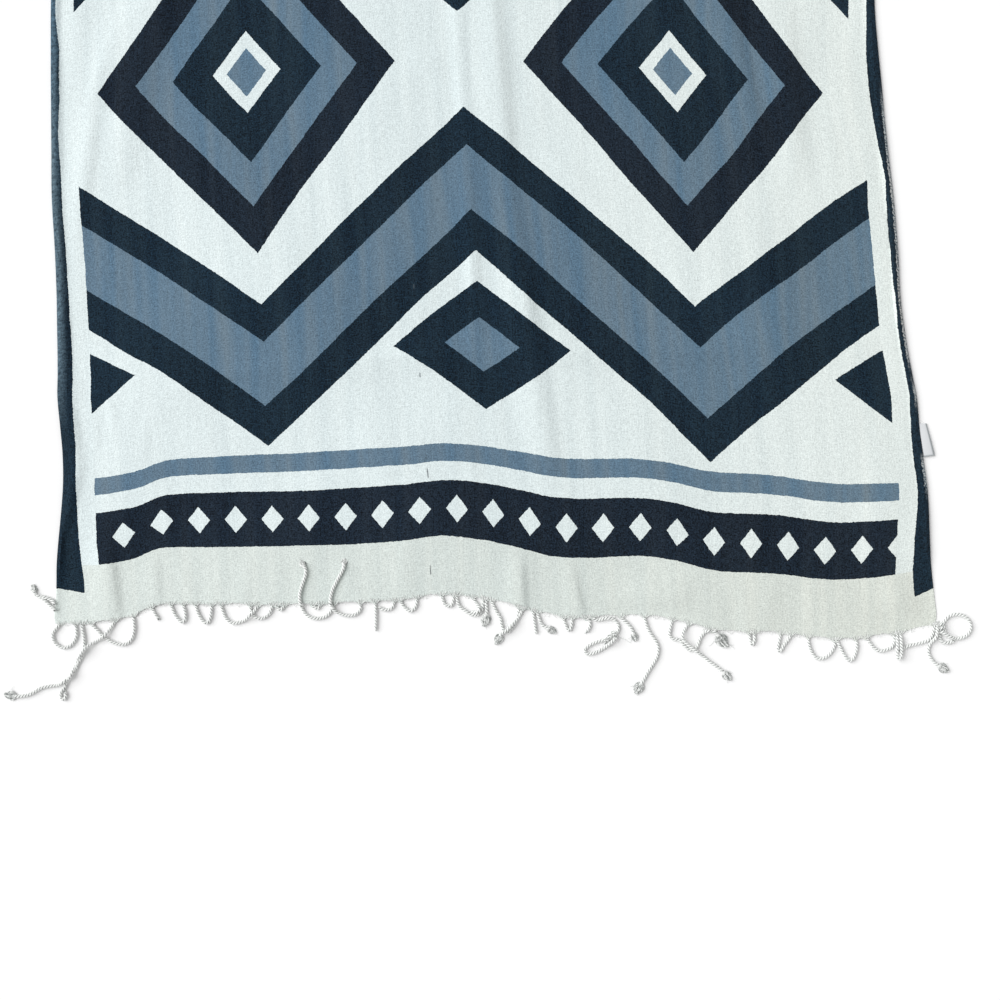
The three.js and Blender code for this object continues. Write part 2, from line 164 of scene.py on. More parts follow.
# Finer creases, those in view first: start, stop, height, width on the left and on the right
CREASES = [Crease(*row) for row in (
    ((-24.9, 430), (-17.6, 300), 1.7, 9, 2.8, Crest.PRESSED),
    ((-17.6, 312), (-11.8, 158), 1.6, 9, 2.8, Crest.PRESSED), ((-5, 428), (11.5, 250), 2.7, 26, 9),
    ((11.5, 264), (28, 138), 2.5, 24, 9), ((27, 154), (38, 88), 2, 20, 10),
    ((4, 420), (14, 270), 0.5, 5, 3.5), ((16, 250), (27, 170), 0.5, 5, 3.5),
    ((28, 200), (36, 120), 0.4, 4, 4), ((-57, 364), (-32, 355), 1.2, 7, 6),
    ((-70, 352), (-44, 338), 0.35, 7, 6), ((32, 301), (70, 268), 1.1, 7, 6),
    ((36, 288), (62, 250), 0.45, 6, 6), ((-200, 150), (-123, 164), 0.7, 4, 4, Crest.PRESSED),
    ((-123, 164), (-2, 170), 0.5, 4, 4, Crest.PRESSED), ((64, 189), (118, 183), 1.1, 4, 4, Crest.PRESSED),
    ((118, 183), (165, 170), 1, 4, 4, Crest.PRESSED), ((-234, 404), (-262, 318), 1.6, 22, 14),
    ((-262, 330), (-276, 236), 2.4, 12, 11), ((-238, 400), (-268, 322), 0.5, 7, 6),
    ((148, 408), (175, 294), 2.4, 24, 9), ((240, 178), (263, 174), 0.9, 5, 5),
    ((191, 402), (195, 296), 0.8, 7, 7), ((250, 205), (254, 150), -0.6, 9, 9),
    ((-267, 150), (-270, 112), -1, 4, 6), ((-270, 116), (-278, 52), -1.1, 4, 6),
    ((-276, 128), (-282, 60), 0.8, 5, 6), ((-252, 140), (-246, 118), 0.7, 5, 4),
    ((-235, 140), (-240, 118), 0.6, 4, 5), ((-262, 128), (-258, 104), 0.5, 4, 4),
    ((-226, 126), (-232, 98), 0.35, 5, 5), ((-253, 50), (-244.4, -8), 1.4, 20, 4.6),
    ((-223, 38), (-219, 2), 0.9, 12, 5), ((-208, 36), (-196, 6), 0.7, 5, 4),
    ((-182, 28), (-184, 4), 0.5, 6, 5), ((-160, 32), (-165, 6), 0.5, 6, 5),
    ((-96, 34), (-93, 10), 0.5, 8, 5), ((16.4, 36), (18.8, -3), 1.3, 16, 4.4),
    ((49, 32), (57.5, -8), 1.3, 16, 4.4), ((-60, 34), (-56, 8), 0.4, 8, 5),
    ((182, 22), (176, -14), 0.5, 8, 6), ((82, 14), (130, 8), 2.1, 13, 22),
    ((154, 12), (158, -16), -0.8, 9, 9), ((206, 24), (205, -12), 0.4, 5, 6),
    ((248, 10), (292, 3), 1.9, 14, 22), ((-60, 60), (-58, 22), 0.35, 6, 6),
    ((110, 250), (122, 210), 0.4, 9, 7), ((-150, 330), (-120, 262), 0.35, 10, 10),
    ((-90, 120), (-66, 92), 0.4, 8, 7), ((196, 96), (226, 60), 0.4, 8, 8),
    ((214, 320), (226, 262), 0.35, 8, 8), ((130, 120), (158, 108), 0.4, 6, 6),
    ((-20, 110), (-8, 66), 0.35, 7, 7), ((-200, 642), (150, 655), 0.8, 7, 7, Crest.PRESSED),
    ((-36, 800), (10, 480), 0.7, 7, 6, Crest.PRESSED), ((-180, 986), (190, 970), 0.7, 7, 7, Crest.PRESSED),
    ((20, 1290), (-12, 960), 0.8, 7, 6, Crest.PRESSED),
    ((-190, 1120), (130, 1135), 0.7, 7, 7, Crest.PRESSED),
    ((-130, 1366), (190, 1350), 0.7, 7, 7, Crest.PRESSED),
    ((-170, 1611), (160, 1590), 0.7, 7, 7, Crest.PRESSED), ((-232, 560), (-262, 470), -0.8, 14, 12),
    ((196, 560), (214, 450), 0.7, 12, 10), ((60, 600), (96, 556), 0.6, 10, 9),
    ((-120, 760), (-88, 700), 0.6, 11, 10), ((-236, 860), (-244, 760), 0.7, 10, 12),
    ((206, 880), (190, 800), -0.8, 12, 12), ((40, 700), (52, 640), 0.7, 10, 8),
    ((-60, 930), (-30, 880), 0.5, 10, 10), ((90, 900), (124, 872), 0.5, 10, 9),
    ((-224, 1080), (-236, 990), -0.8, 13, 12), ((216, 1130), (222, 1030), 0.8, 11, 12),
    ((60, 1060), (98, 1030), 0.6, 10, 10), ((-110, 1230), (-70, 1190), 0.6, 11, 10),
    ((-206, 1300), (-216, 1200), 0.7, 12, 11), ((60, 1240), (72, 1180), 0.5, 10, 9),
    ((220, 1300), (212, 1220), -0.7, 12, 12), ((-180, 1470), (-150, 1420), 0.6, 11, 11),
    ((60, 1460), (98, 1420), 0.7, 10, 10), ((-226, 1560), (-232, 1470), -0.7, 12, 12),
    ((126, 1520), (140, 1440), 0.6, 11, 10), ((20, 1700), (46, 1650), 0.6, 10, 10),
    ((-190, 1720), (-176, 1660), 0.5, 10, 9), ((130, 1740), (120, 1690), 0.5, 9, 9),
    ((-120, 1794), (-118, 1764), 0.6, 5, 5), ((90, 1800), (92, 1768), 0.7, 5, 5),
    ((204, 1806), (200, 1772), 0.6, 5, 6), ((-230, 1808), (-226, 1770), 0.5, 6, 5),
    ((10, 1796), (12, 1770), -0.4, 7, 7),
)]

# The near fringe's cords from left to right
CORDS = [
    Cord(((-286.2, 1.3), (-289.8, 4.2), (-293.4, 7.8), (-296.3, 9.9), (-299.3, 11.5), (-300.4, 14.3)),
         End.TUFT, bulk=0.45),
    Cord(((-286.6, 5.2), (-288.5, 7.6), (-292.1, 9.3), (-296, 10.1)), End.PLAIN),
    Cord(((-283.2, -8.5), (-286.7, -11.7), (-288.2, -15.5), (-286.9, -19.6), (-283.6, -22.4),
          (-280.2, -23.2), (-276.2, -21.5), (-273.4, -17.8), (-272.5, -13), (-273.4, -8.5)), End.HEM),
    Cord(((-269.2, -8.5), (-268.4, -13), (-267.7, -17.8), (-267.6, -22.4), (-268.5, -26.1), (-270.2, -31),
          (-273.7, -35.9), (-275.7, -41.1), (-278.8, -45.3), (-280.4, -49.2), (-282.6, -52.2),
          (-282.7, -55.7), (-280.9, -56.9), (-279.6, -55), (-280, -52)), End.PLAIN, (7,)),
    Cord(((-247.3, -6.5), (-250.6, -10.8), (-254.7, -15.9), (-260.3, -19.2), (-266, -23), (-269, -27.1),
          (-271.9, -31), (-272.7, -36.2), (-276.4, -41.3), (-280.7, -45.5), (-285.5, -47.6), (-292, -48.5),
          (-296.7, -49.9), (-300.4, -52.2), (-305.1, -54.2), (-310.4, -55), (-313.6, -54.7)),
         End.TUFT, (2, 4, 5, 9), 0.85),
    Cord(((-263.1, -8), (-259.4, -11.3), (-255.2, -15.9), (-250.1, -19.2), (-245.4, -20.8), (-240.8, -20.8),
          (-237.1, -18.3), (-235.2, -13), (-235, -8.5), (-235.6, -3.8)), End.HEM),
    Cord(((-223.6, 1.3), (-221.2, -1.5), (-219.1, -4.6)), End.PLAIN),
    Cord(((-211.2, 3.3), (-208.6, -1.5), (-205.4, -5.5), (-203, -6.5), (-201.7, -3.9), (-201.9, 0.3),
          (-203.2, 3.3)), End.HEM),
    Cord(((-195.1, 3.7), (-193.3, -1), (-190.4, -5.7), (-187.7, -7.1), (-185.8, -4.8), (-184.9, 0),
          (-184.7, 4.1)), End.HEM),
    Cord(((-178.5, 3.7), (-176, -2.9), (-172.8, -6.2), (-169.5, -7.2), (-164, -5.7), (-159.6, -2.3),
          (-156.5, 1), (-154.2, 3.6)), End.HEM, (5,)),
    Cord(((-159.5, 3.9), (-158.7, 0), (-156.2, -3.4), (-151.9, -4.1), (-147.4, -1.3), (-144.7, 3.6)),
         End.HEM),
    Cord(((-142.3, 4.7), (-141.3, 2.2), (-138.9, 1.7), (-137.3, 4.6)), End.HEM),
    Cord(((-119, 4.9), (-117.4, 2.9), (-115.1, 2.6), (-113.8, 4.9)), End.HEM),
    Cord(((-105, 4.2), (-107.6, -0.5), (-111.5, -3.3), (-116.1, -4.2), (-121.3, -2.9), (-124.8, 0.7),
          (-126.5, 5.2), (-127, 11.1), (-125.7, 17), (-123.6, 22.8), (-123, 27.4), (-124.9, 31)),
         End.TUFT, bulk=0.5),
    Cord(((-87.9, 5.2), (-87.6, 2), (-90.6, -1.3), (-95.3, -2.2), (-101.2, -1), (-105.5, 2.6), (-107.1, 7.2),
          (-105.6, 14.5), (-102, 21.9), (-98.7, 27.9), (-98.1, 32.3)), End.TUFT, (5,), 0.5),
    Cord(((-78, 5.9), (-77.7, 0.7), (-77.6, -5.2), (-77.9, -11.4)), End.PLAIN),
    Cord(((-65.7, 6.8), (-66.5, 3.7), (-68.9, 1.8), (-72.2, 1.6), (-75.3, 2.9)), End.PLAIN),
    Cord(((-61.9, 5.9), (-59.1, 3.3), (-56.6, 1.2), (-54.1, 1), (-51.7, 3.7), (-50.7, 7.2)), End.HEM),
    Cord(((-34.9, 9.2), (-33.1, 5.5), (-30.3, 3.9), (-28, 5), (-26.7, 9.1)), End.HEM),
    Cord(((-25.2, 9.2), (-23.3, 4.1), (-19.1, 0.7), (-15.4, -1.5), (-11.7, -1.7), (-8.7, 1), (-7.3, 5.2)),
         End.HEM),
    Cord(((-14.3, 8.8), (-12, 5.5), (-10.1, 2.3), (-11.4, 0), (-15, -0.1)), End.PLAIN, (2, 3)),
    Cord(((-5.9, 3.9), (-5.3, 0.7), (-5.7, -2.6)), End.TUFT),
    Cord(((-2.3, 3.6), (1, 0.3), (3.5, -3.9), (4.3, -8.6), (5.9, -12.1), (8.6, -12.9), (11.5, -9.8),
          (13.6, -5.5), (15, -1.3), (15.8, 3.3)), End.HEM),
    Cord(((18.3, -0.3), (15.4, -3.1), (11.7, -7.4), (8.1, -11.3), (4.8, -13.4), (3.4, -15.6)),
         End.TUFT, (2, 3, 4), 0.85),
    Cord(((24.7, -2.6), (25.9, -8), (26.7, -13.4)), End.PLAIN),
    Cord(((27.4, -3.6), (30.3, -7.7), (33.9, -10.2), (35.5, -11.1)), End.TUFT, bulk=0.6),
    Cord(((44.3, -3.9), (46.1, -8.5), (48, -12), (49.8, -9.1), (50.4, -3.9)), End.HEM),
    Cord(((59.1, -2.9), (61.7, -5.9), (61.5, -9.8), (59.6, -13)), End.PLAIN),
    Cord(((63.2, -5.9), (67.2, -5.2), (73, -3.9), (77.7, -5), (80.4, -8.8), (79.7, -13), (76, -15.9),
          (71.1, -18.1), (65.9, -19.6), (60.9, -21.9), (58.4, -24.8), (60.6, -27.3), (65.9, -26.1),
          (71.1, -23.2), (75.6, -19.6), (78.9, -16.4)), End.PLAIN, (14, 15)),
    Cord(((81.8, -5.2), (86.1, -7.4), (88.9, -10.8), (90.5, -15)), End.TUFT, bulk=0.55),
    Cord(((97.3, -3.6), (99.1, -9.8), (102, -15), (105.1, -19.4), (106.4, -24.5), (105.1, -30), (102, -35.3),
          (98.7, -40.7), (96.1, -45.2), (94.7, -47.5)), End.TUFT, bulk=0.95),
    Cord(((115.5, -4.9), (114.1, -10.8), (113.8, -15.1), (116.1, -17.5), (120.6, -18.5), (123.4, -22),
          (126.7, -24.5), (130.4, -24.1), (132.4, -20.6), (134.1, -16.3), (137.4, -12.6), (141, -10.1)),
         End.HEM),
    Cord(((126.4, -6.8), (123.9, -10.8), (122.1, -14.5), (122.6, -17.9), (126.2, -21.5), (130.9, -25.2),
          (135.6, -28.9), (141.1, -33.2), (146.7, -37.4), (149.7, -40.2)), End.TUFT, (2, 3, 4, 5), 0.75),
    Cord(((141.5, -11.1), (143.8, -13.3), (145.7, -15.6)), End.TUFT, bulk=1.5),
    Cord(((165.6, -11.7), (166.3, -18.3), (167.6, -21.1), (169, -18.3), (169, -11.7)), End.HEM),
    Cord(((186.1, -15), (184.8, -20.2), (184.3, -24.4), (186.1, -25.3), (187.9, -22), (190, -19.2),
          (193, -16)), End.HEM),
    Cord(((204, -16.3), (204.5, -21.1), (205.8, -25), (208.2, -28.8), (211.8, -30.4), (216.1, -28.9),
          (219.3, -25.7), (221.3, -21.1), (220.6, -17)), End.HEM),
    Cord(((222.6, -17.3), (224.9, -22.8), (227.3, -27.6), (230.1, -31.2), (232.8, -31), (234.9, -26.7),
          (235.8, -21.1), (234.9, -15.5)), End.HEM),
    Cord(((241.7, -14.7), (243.6, -19.2), (246.4, -22.8), (250.1, -25.2), (254.7, -24.6), (258.5, -22.6),
          (260.1, -18.9), (259.9, -14.3)), End.HEM),
    Cord(((262, -15), (261.7, -22), (261.5, -27.8), (262.8, -30.3), (264.3, -27.8), (264.3, -21.1),
          (264.1, -14)), End.HEM, (1, 2, 3, 4, 5)),
    Cord(((286.6, -11.1), (283.6, -17), (278, -19.9), (271.2, -21.5), (266.7, -23.2), (263.7, -25.2)),
         End.PLAIN),
    Cord(((288.2, -11.1), (286.9, -16), (283.6, -20.3), (282.3, -24.3), (283.2, -28.9), (286.4, -33.1),
          (290.3, -35.5)), End.TUFT, (1,), 0.85),
    Cord(((288.5, -10.4), (290.8, -10.2), (292.9, -5.7), (296, -2.7), (300.6, -1.5), (306, -2.9),
          (309.6, -7.2), (309.6, -12), (306.8, -15.5), (301.2, -17.3), (295.9, -15.9), (291.4, -13.3),
          (289.5, -12.8)), End.PLAIN, (10, 11, 12)),
    Cord(((287.7, -11.4), (290.3, -18.1), (294.4, -20.1), (298.6, -18.9)), End.PLAIN),
]

# The far fringe is like the near one but shorter, with some cords lost
FAR_SHARE = 0.86
LOST_EVERY = 7
LOST_FIRST = 5

# Single threads that have come loose below the near hem: x across, y above the straight line
STRAY_THREADS = [
    [(79, -15.6), (84, -17.6), (88.8, -20.4)],
]

# Turns of cord wound round others: where the winding starts and stops, and its turns
WINDINGS = [((78.5, -13), (71, -19.4), 3), ((290.6, -7), (291.6, -14.4), 3)]


def to_linear(colour: str) -> tuple[float, float, float, float]:
    """Turn an sRGB hex colour into linear red, green, blue and alpha.

    Args:
        colour: The colour as "#rrggbb".

    Returns:
        The linear values, with an alpha of 1.
    """
    shares = (int(colour[place:place + 2], 16) / 255 for place in (1, 3, 5))
    red, green, blue = (s / 12.92 if s <= 0.04045 else ((s + 0.055) / 1.055) ** 2.4 for s in shares)
    return red, green, blue, 1.0


def as_lit(colour: str) -> tuple[float, float, float, float]:
    """Give the base colour that shows as a hex colour on a level surface in the studio's light."""
    red, green, blue, alpha = to_linear(colour)
    return red / LEVEL_LIGHT, green / LEVEL_LIGHT, blue / LEVEL_LIGHT, alpha


def add_node(tree: bpy.types.NodeTree, kind: str, inputs: Mapping[str | int, Any] | None = None,
             **settings: Any) -> bpy.types.Node:
    """Add a node with its settings and links.

    Args:
        tree: The tree that the node goes into.
        kind: Blender's type name for the node.
        inputs: For each input, by name or number, the socket that it is linked to or its fixed value.
        settings: Values for the node's own properties.

    Returns:
        The new node.
    """
    node = tree.nodes.new(kind)
    for name, value in settings.items():
        setattr(node, name, value)
    for key, value in (inputs or {}).items():
        if isinstance(value, bpy.types.NodeSocket):
            tree.links.new(value, node.inputs[key])
        else:
            node.inputs[key].default_value = value
    return node


def start_material(name: str) -> tuple[bpy.types.Material, bpy.types.NodeTree]:
    """Start a material with an empty tree."""
    material = bpy.data.materials.new(name)
    material.use_nodes = True
    material.node_tree.nodes.clear()
    return material, material.node_tree


def set_stops(ramp: bpy.types.Node, stops: Sequence[tuple[float, Sequence[float]]]) -> None:
    """Give a colour ramp its stops: each one's place and linear colour."""
    elements = ramp.color_ramp.elements
    while len(elements) < len(stops):
        elements.new(0.5)
    for element, (place, colour) in zip(elements, stops):
        element.position, element.color = place, colour


def smoothstep(value: np.ndarray | float, low: float, high: float) -> np.ndarray | float:
    """Rise smoothly from 0 at low to 1 at high."""
    share = np.clip((value - low) / (high - low), 0, 1)
    return share * share * (3 - 2 * share)


def read_table(table: np.ndarray, column: int, place: np.ndarray | float) -> np.ndarray | float:
    """Read a column of a table on a smooth line through its rows.

    Args:
        table: Rows in rising order of their first column, the key.
        column: The column to read.
        place: One or more places along the key.

    Returns:
        The column's value at each place.
    """
    keys, values = table[:, 0], table[:, column]
    last = len(keys) - 1
    before, after = np.maximum(np.arange(last + 1) - 1, 0), np.minimum(np.arange(last + 1) + 1, last)
    slopes = (values[after] - values[before]) / (keys[after] - keys[before])
    row = np.clip(np.searchsorted(keys, place, side="right") - 1, 0, last - 1)
    span = keys[row + 1] - keys[row]
    share = np.clip((place - keys[row]) / span, 0, 1)
    rest = 1 - share
    return ((1 + 2 * share) * rest * rest * values[row] + share * share * (3 - 2 * share) * values[row + 1]
            + share * rest * rest * span * slopes[row] - share * share * rest * span * slopes[row + 1])


def soft_noise(x: np.ndarray, y: np.ndarray, cell: float, seed: int) -> np.ndarray:
    """Give smooth random hills between 0 and 1, the same on each run.

    Args:
        x: Places across, in millimetres.
        y: Places along, in millimetres.
        cell: The hills' spacing, in millimetres.
        seed: The seed of the random heights.

    Returns:
        The height at each place.
    """
    heights = np.random.default_rng(seed).random((256, 256))
    col, row = np.floor(x / cell).astype(int), np.floor(y / cell).astype(int)
    right, up = x / cell - col, y / cell - row
    right, up = (s * s * s * (s * (6 * s - 15) + 10) for s in (right, up))
    near, far = (heights[line % 256, col % 256] * (1 - right) + heights[line % 256, (col + 1) % 256] * right
                 for line in (row, row + 1))
    return near * (1 - up) + far * up


@dataclass(frozen=True)
class Drape:
    """How the panel lies on the surface: its outline, the bow of its weft, and its relief, in millimetres."""

    length: float = 1800.0
    bow: float = 36.0
    hem_reach: float = 250.0

    def hem_rise(self, across: np.ndarray | float) -> np.ndarray | float:
        """Tell how far the near hem lies above its straight line."""
        return read_table(HEM_WAVE, 1, across)

    def width(self, from_hem: np.ndarray | float) -> np.ndarray | float:
        """Tell the visible width at a distance from the near hem."""
        return read_table(OUTLINE, 2, from_hem) - read_table(OUTLINE, 1, from_hem)

    def place(self, share: np.ndarray, from_hem: np.ndarray) -> tuple[np.ndarray, np.ndarray]:
        """Find where points of the panel lie.

        Args:
            share: The share across, from -1 at the left edge to 1 at the right one.
            from_hem: The length of cloth from the near hem.

        Returns:
            The places across, and the heights above the near hem's straight line.
        """
        def across(height: np.ndarray | float) -> np.ndarray:
            """Find the place across at a height."""
            left, right = read_table(OUTLINE, 1, height), read_table(OUTLINE, 2, height)
            return left + (right - left) * (share + 1) / 2

        near = 1 - smoothstep(from_hem, 0, self.hem_reach)
        far = 1 - smoothstep(self.length - from_hem, 0, self.hem_reach)
        bow = self.bow * (1 / 3 - share * share) * np.cos(np.pi * from_hem / self.length)
        wave = (near * self.hem_rise(across(0.0)) - far * self.hem_rise(-across(self.length))
                + (1 - near - far) * bow)
        height = from_hem + wave
        return across(height), height

    def relief(self, x: np.ndarray, y: np.ndarray) -> np.ndarray:
        """Find how far folds, creases and the cloth's own slackness raise it off the surface.

        Args:
            x: Places across.
            y: Heights above the near hem's straight line.

        Returns:
            The rise at each place, never below 0.
        """
        folds = np.zeros_like(x)
        for start, stop, height, half in FOLDS:
            along, away = self._from_line(x, y, start, stop)
            wave = 0.5 * (1 + np.cos(np.pi * np.minimum(np.abs(away) / half, 1)))
            folds = np.maximum(folds, height * wave * (0.5 + 0.5 * np.sin(np.pi * along)))
        total = folds + 1.0 * soft_noise(x, y, 74, 3) + 0.45 * soft_noise(x, y, 27, 4)
        # The warp's tension draws soft ripples along the cloth
        total += 0.12 * soft_noise(x, y, 11, 5) + 0.3 * soft_noise(x, y * 0.16, 9, 6)
        for crease in CREASES:
            along, away = self._from_line(x, y, crease.start, crease.stop)
            share = np.minimum(np.abs(away) / np.where(away < 0, crease.left, crease.right), 1)
            if crease.crest is Crest.SOFT:
                section = 0.5 * (1 + np.cos(np.pi * share))
            else:
                section = (1 - share) ** 1.5
            total += crease.height * section * np.sin(np.pi * np.clip(along, 0.02, 0.98)) ** 0.6
        return np.maximum(total, 0)

    def _from_line(self, x: np.ndarray, y: np.ndarray, start: tuple[float, float],
                   stop: tuple[float, float]) -> tuple[np.ndarray, np.ndarray]:
        """Measure places against a line: the share along it, and the distance, negative on its left."""
        dx, dy = stop[0] - start[0], stop[1] - start[1]
        along = np.clip(((x - start[0]) * dx + (y - start[1]) * dy) / (dx * dx + dy * dy), 0, 1)
        off_x, off_y = x - start[0] - along * dx, y - start[1] - along * dy
        side = np.where(off_x < 0, -1.0, 1.0)
        return along, side * np.hypot(off_x, off_y)


@dataclass(frozen=True)
class PrintedCotton:
    """Printed cotton plain weave: matt, slightly slubby, its ink a little uneven along the warp.

    It gives the eye a fine grain of threads, streaks where a thread is thicker, and print edges that step
    from thread to thread. The print is a plain zigzag and lozenge design in the real one's inks and scale.
    """

    name: str = "printed_cotton_plain_weave"
    ground: str = "#e2edee"
    margin: str = "#dae2de"
    navy: str = "#192a37"
    charcoal: str = "#1c2733"
    slate: str = "#657d90"
    back: str = "#b4bbbf"
    fleck: str = "#4d5963"
    # Painted highlight where the light from the left catches the left selvedge's roll
    painted_roll_highlight: str = "#8fb0c4"
    roughness: float = 0.92
    repeat_across: float = 0.286
    row_centre: float = 0.350
    row_reach: float = 0.275
    zigzag_rise: float = 0.120
    zigzag_place: float = 0.080
    lozenge: tuple[float, float] = (0.100, 0.118)
    small_lozenge: tuple[float, float] = (0.058, 0.041)
    small_place: float = 0.186
    bead: tuple[float, float] = (0.0072, 0.0088)
    bead_step: float = 0.024
    bead_place: float = 0.057
    bare_margin: float = 0.039
    half_length: float = 0.9
    # Where the right selvedge's back shows, and where the flecked warp thread is dark: place along, 1 or 0
    back_shows: tuple[tuple[float, int], ...] = (
        (0.0, 0), (0.090, 0), (0.096, 1), (0.112, 1), (0.117, 0), (0.153, 0), (0.157, 1), (0.166, 1),
        (0.170, 0), (0.178, 0), (0.188, 1), (0.345, 1), (0.360, 0), (0.70, 0), (0.72, 1), (0.86, 1),
        (0.88, 0), (1.22, 0), (1.24, 1), (1.42, 1), (1.44, 0), (1.8, 0))
    fleck_shows: tuple[tuple[float, int], ...] = (
        (0.0, 0), (0.014, 1), (0.026, 0), (0.073, 1), (0.099, 0), (0.1425, 1), (0.1455, 0), (0.199, 1),
        (0.2025, 0), (0.217, 1), (0.2205, 0))
    # Painted fall-off of the light from the left, warmer on the right: tints at the left selvedge, the middle
    # and the right one
    falloff_tints: tuple[tuple[float, float, float], ...] = ((1, 1, 1), (0.93, 0.935, 0.935), (0.97, 0.94, 0.90))
    thread: float = 0.00055
    grain_shares: tuple[float, ...] = (0.55, 0.5, 1.5, 0.22, 0.36, 0.3)
    grain_rises: tuple[float, ...] = (1.6, 1.6, 2.4, 0.8, 0.0, 0.0)

    def material(self) -> bpy.types.Material:
        """Build the material, on the UV maps cloth (the flat cut, in metres) and selvedge."""
        material, tree = start_material(self.name)
        cut = add_node(tree, "ShaderNodeUVMap", uv_map="cloth").outputs["UV"]
        ink = self._print(tree, cut)
        painted_roll_highlight = self._selvedge(tree, cut, ink)
        colour, relief = self._grain(tree, cut, painted_roll_highlight)
        bump = add_node(tree, "ShaderNodeBump", {"Height": relief, "Strength": 0.6, "Distance": 0.00014})
        shader = add_node(tree, "ShaderNodeBsdfPrincipled", {
            "Base Color": colour, "Roughness": self.roughness, "Specular IOR Level": 0.08,
            "Sheen Weight": 0.04, "Sheen Roughness": 0.6, "Normal": bump.outputs["Normal"]})
        add_node(tree, "ShaderNodeOutputMaterial", {"Surface": shader.outputs["BSDF"]})
        return material

    def _ramp(self, tree: bpy.types.NodeTree, value: bpy.types.NodeSocket, low: float, high: float,
              stops: Sequence[tuple[float, str | None]], under: bpy.types.NodeSocket) -> bpy.types.NodeSocket:
        """Lay bands of ink over a colour, by a value.

        Args:
            tree: The material's tree.
            value: What the bands follow.
            low: The value at the ramp's start.
            high: The value at its end.
            stops: Where each band starts and its ink, or None where the colour beneath shows.
            under: The colour beneath.

        Returns:
            The colour with the bands on it.
        """
        place = add_node(tree, "ShaderNodeMapRange", {"Value": value, "From Min": low, "From Max": high})
        ramp = add_node(tree, "ShaderNodeValToRGB", {"Fac": place.outputs["Result"]})
        ramp.color_ramp.interpolation = "CONSTANT"
        set_stops(ramp, [((start - low) / (high - low), as_lit(ink) if ink else (0, 0, 0, 0))
                         for start, ink in stops])
        mix = add_node(tree, "ShaderNodeMix", {0: ramp.outputs["Alpha"], 6: under, 7: ramp.outputs["Color"]},
                       data_type="RGBA")
        return mix.outputs[2]

    def _print(self, tree: bpy.types.NodeTree, cut: bpy.types.NodeSocket) -> bpy.types.NodeSocket:
        """Draw the print on the flat cut, alike from both hems."""
        # The cloth has shifted under the screen (70 mm and 9 mm), and each edge steps by a thread (1.3 mm)
        shifts = ((14, 0.0022), (115, 0.0008), (760, 0.0009))
        middle = sum(shift for _, shift in shifts) / 2
        for scale, shift in shifts:
            noise = add_node(tree, "ShaderNodeTexNoise", {"Vector": cut, "Scale": scale, "Detail": 1.0})
            cut = add_node(tree, "ShaderNodeVectorMath", {
                0: noise.outputs["Color"], 1: (shift, shift, 0), 2: cut},
                operation="MULTIPLY_ADD").outputs["Vector"]
        cut = add_node(tree, "ShaderNodeVectorMath", {0: cut, 1: (middle, middle, 0)},
                       operation="SUBTRACT").outputs["Vector"]
        parts = add_node(tree, "ShaderNodeSeparateXYZ", {"Vector": cut})
        across, along = parts.outputs["X"], parts.outputs["Y"]
        half = self.repeat_across / 2
        math_steps: list[tuple[str, str, Any, Any, Any]] = [
            ("along", "PINGPONG", along, self.half_length, None),
            ("from_row", "SUBTRACT", "along", self.row_centre, None),
            ("off_row", "ABSOLUTE", "from_row", None, None),
            ("row", "PINGPONG", "off_row", self.row_reach, None),
            ("wave", "PINGPONG", across, half, None),
            ("cell", "SUBTRACT", half, "wave", None),
            ("zig", "MULTIPLY_ADD", "wave", -self.zigzag_rise / half, -self.zigzag_place),
            ("zigzag", "ADD", "row", "zig", None),
            ("large_a", "MULTIPLY", "cell", 1 / self.lozenge[0], None),
            ("large", "MULTIPLY_ADD", "row", 1 / self.lozenge[1], "large_a"),
            ("low_a", "SUBTRACT", "row", self.small_place, None),
            ("low_b", "ABSOLUTE", "low_a", None, None),
            ("low_c", "MULTIPLY", "wave", 1 / self.small_lozenge[0], None),
            ("low", "MULTIPLY_ADD", "low_b", 1 / self.small_lozenge[1], "low_c"),
            ("bead_a", "PINGPONG", across, self.bead_step / 2, None),
            ("bead_b", "MULTIPLY", "bead_a", 1 / self.bead[0], None),
            ("bead_c", "SUBTRACT", "along", self.bead_place, None),
            ("bead_d", "ABSOLUTE", "bead_c", None, None),
            ("bead", "MULTIPLY_ADD", "bead_d", 1 / self.bead[1], "bead_b"),
            ("rim_a", "ABSOLUTE", across, None, None),
            ("rim", "MULTIPLY_ADD", "rim_a", -0.2, "along"),
            ("inset", "LESS_THAN", "rim", -0.0331, None),
            ("edge", "MULTIPLY_ADD", "inset", 10.0, across),
            ("margin", "LESS_THAN", "along", self.bare_margin, None),
            ("gap", "MULTIPLY_ADD", "margin", 10.0, across),
        ]
        made: dict[str, bpy.types.NodeSocket] = {}
        for name, operation, *values in math_steps:
            inputs = {place: made[value] if isinstance(value, str) else value
                      for place, value in enumerate(values) if value is not None}
            made[name] = add_node(tree, "ShaderNodeMath", inputs, operation=operation).outputs[0]
        base = add_node(tree, "ShaderNodeRGB")
        base.outputs[0].default_value = as_lit(self.ground)
        navy, slate, charcoal, pale = self.navy, self.slate, self.charcoal, self.ground
        colour = base.outputs[0]
        colour = self._ramp(tree, made["zigzag"], -0.1, 0.1, [
            (-0.1, None), (-0.049, navy), (-0.024, slate), (0.018, navy), (0.045, None)], colour)
        colour = self._ramp(tree, made["large"], 0, 2, [
            (0, slate), (0.13, pale), (0.22, navy), (0.50, slate), (0.74, charcoal), (1.0, None)], colour)
        colour = self._ramp(tree, made["low"], 0, 2, [(0, slate), (0.42, navy), (1.0, None)], colour)
        colour = self._ramp(tree, made["along"], 0, 0.2, [
            (0, self.margin), (self.bare_margin, charcoal), (0.075, pale), (0.087, slate),
            (0.099, None)], colour)
        beads = add_node(tree, "ShaderNodeMath", {0: made["bead"], 1: 1.0}, operation="LESS_THAN")
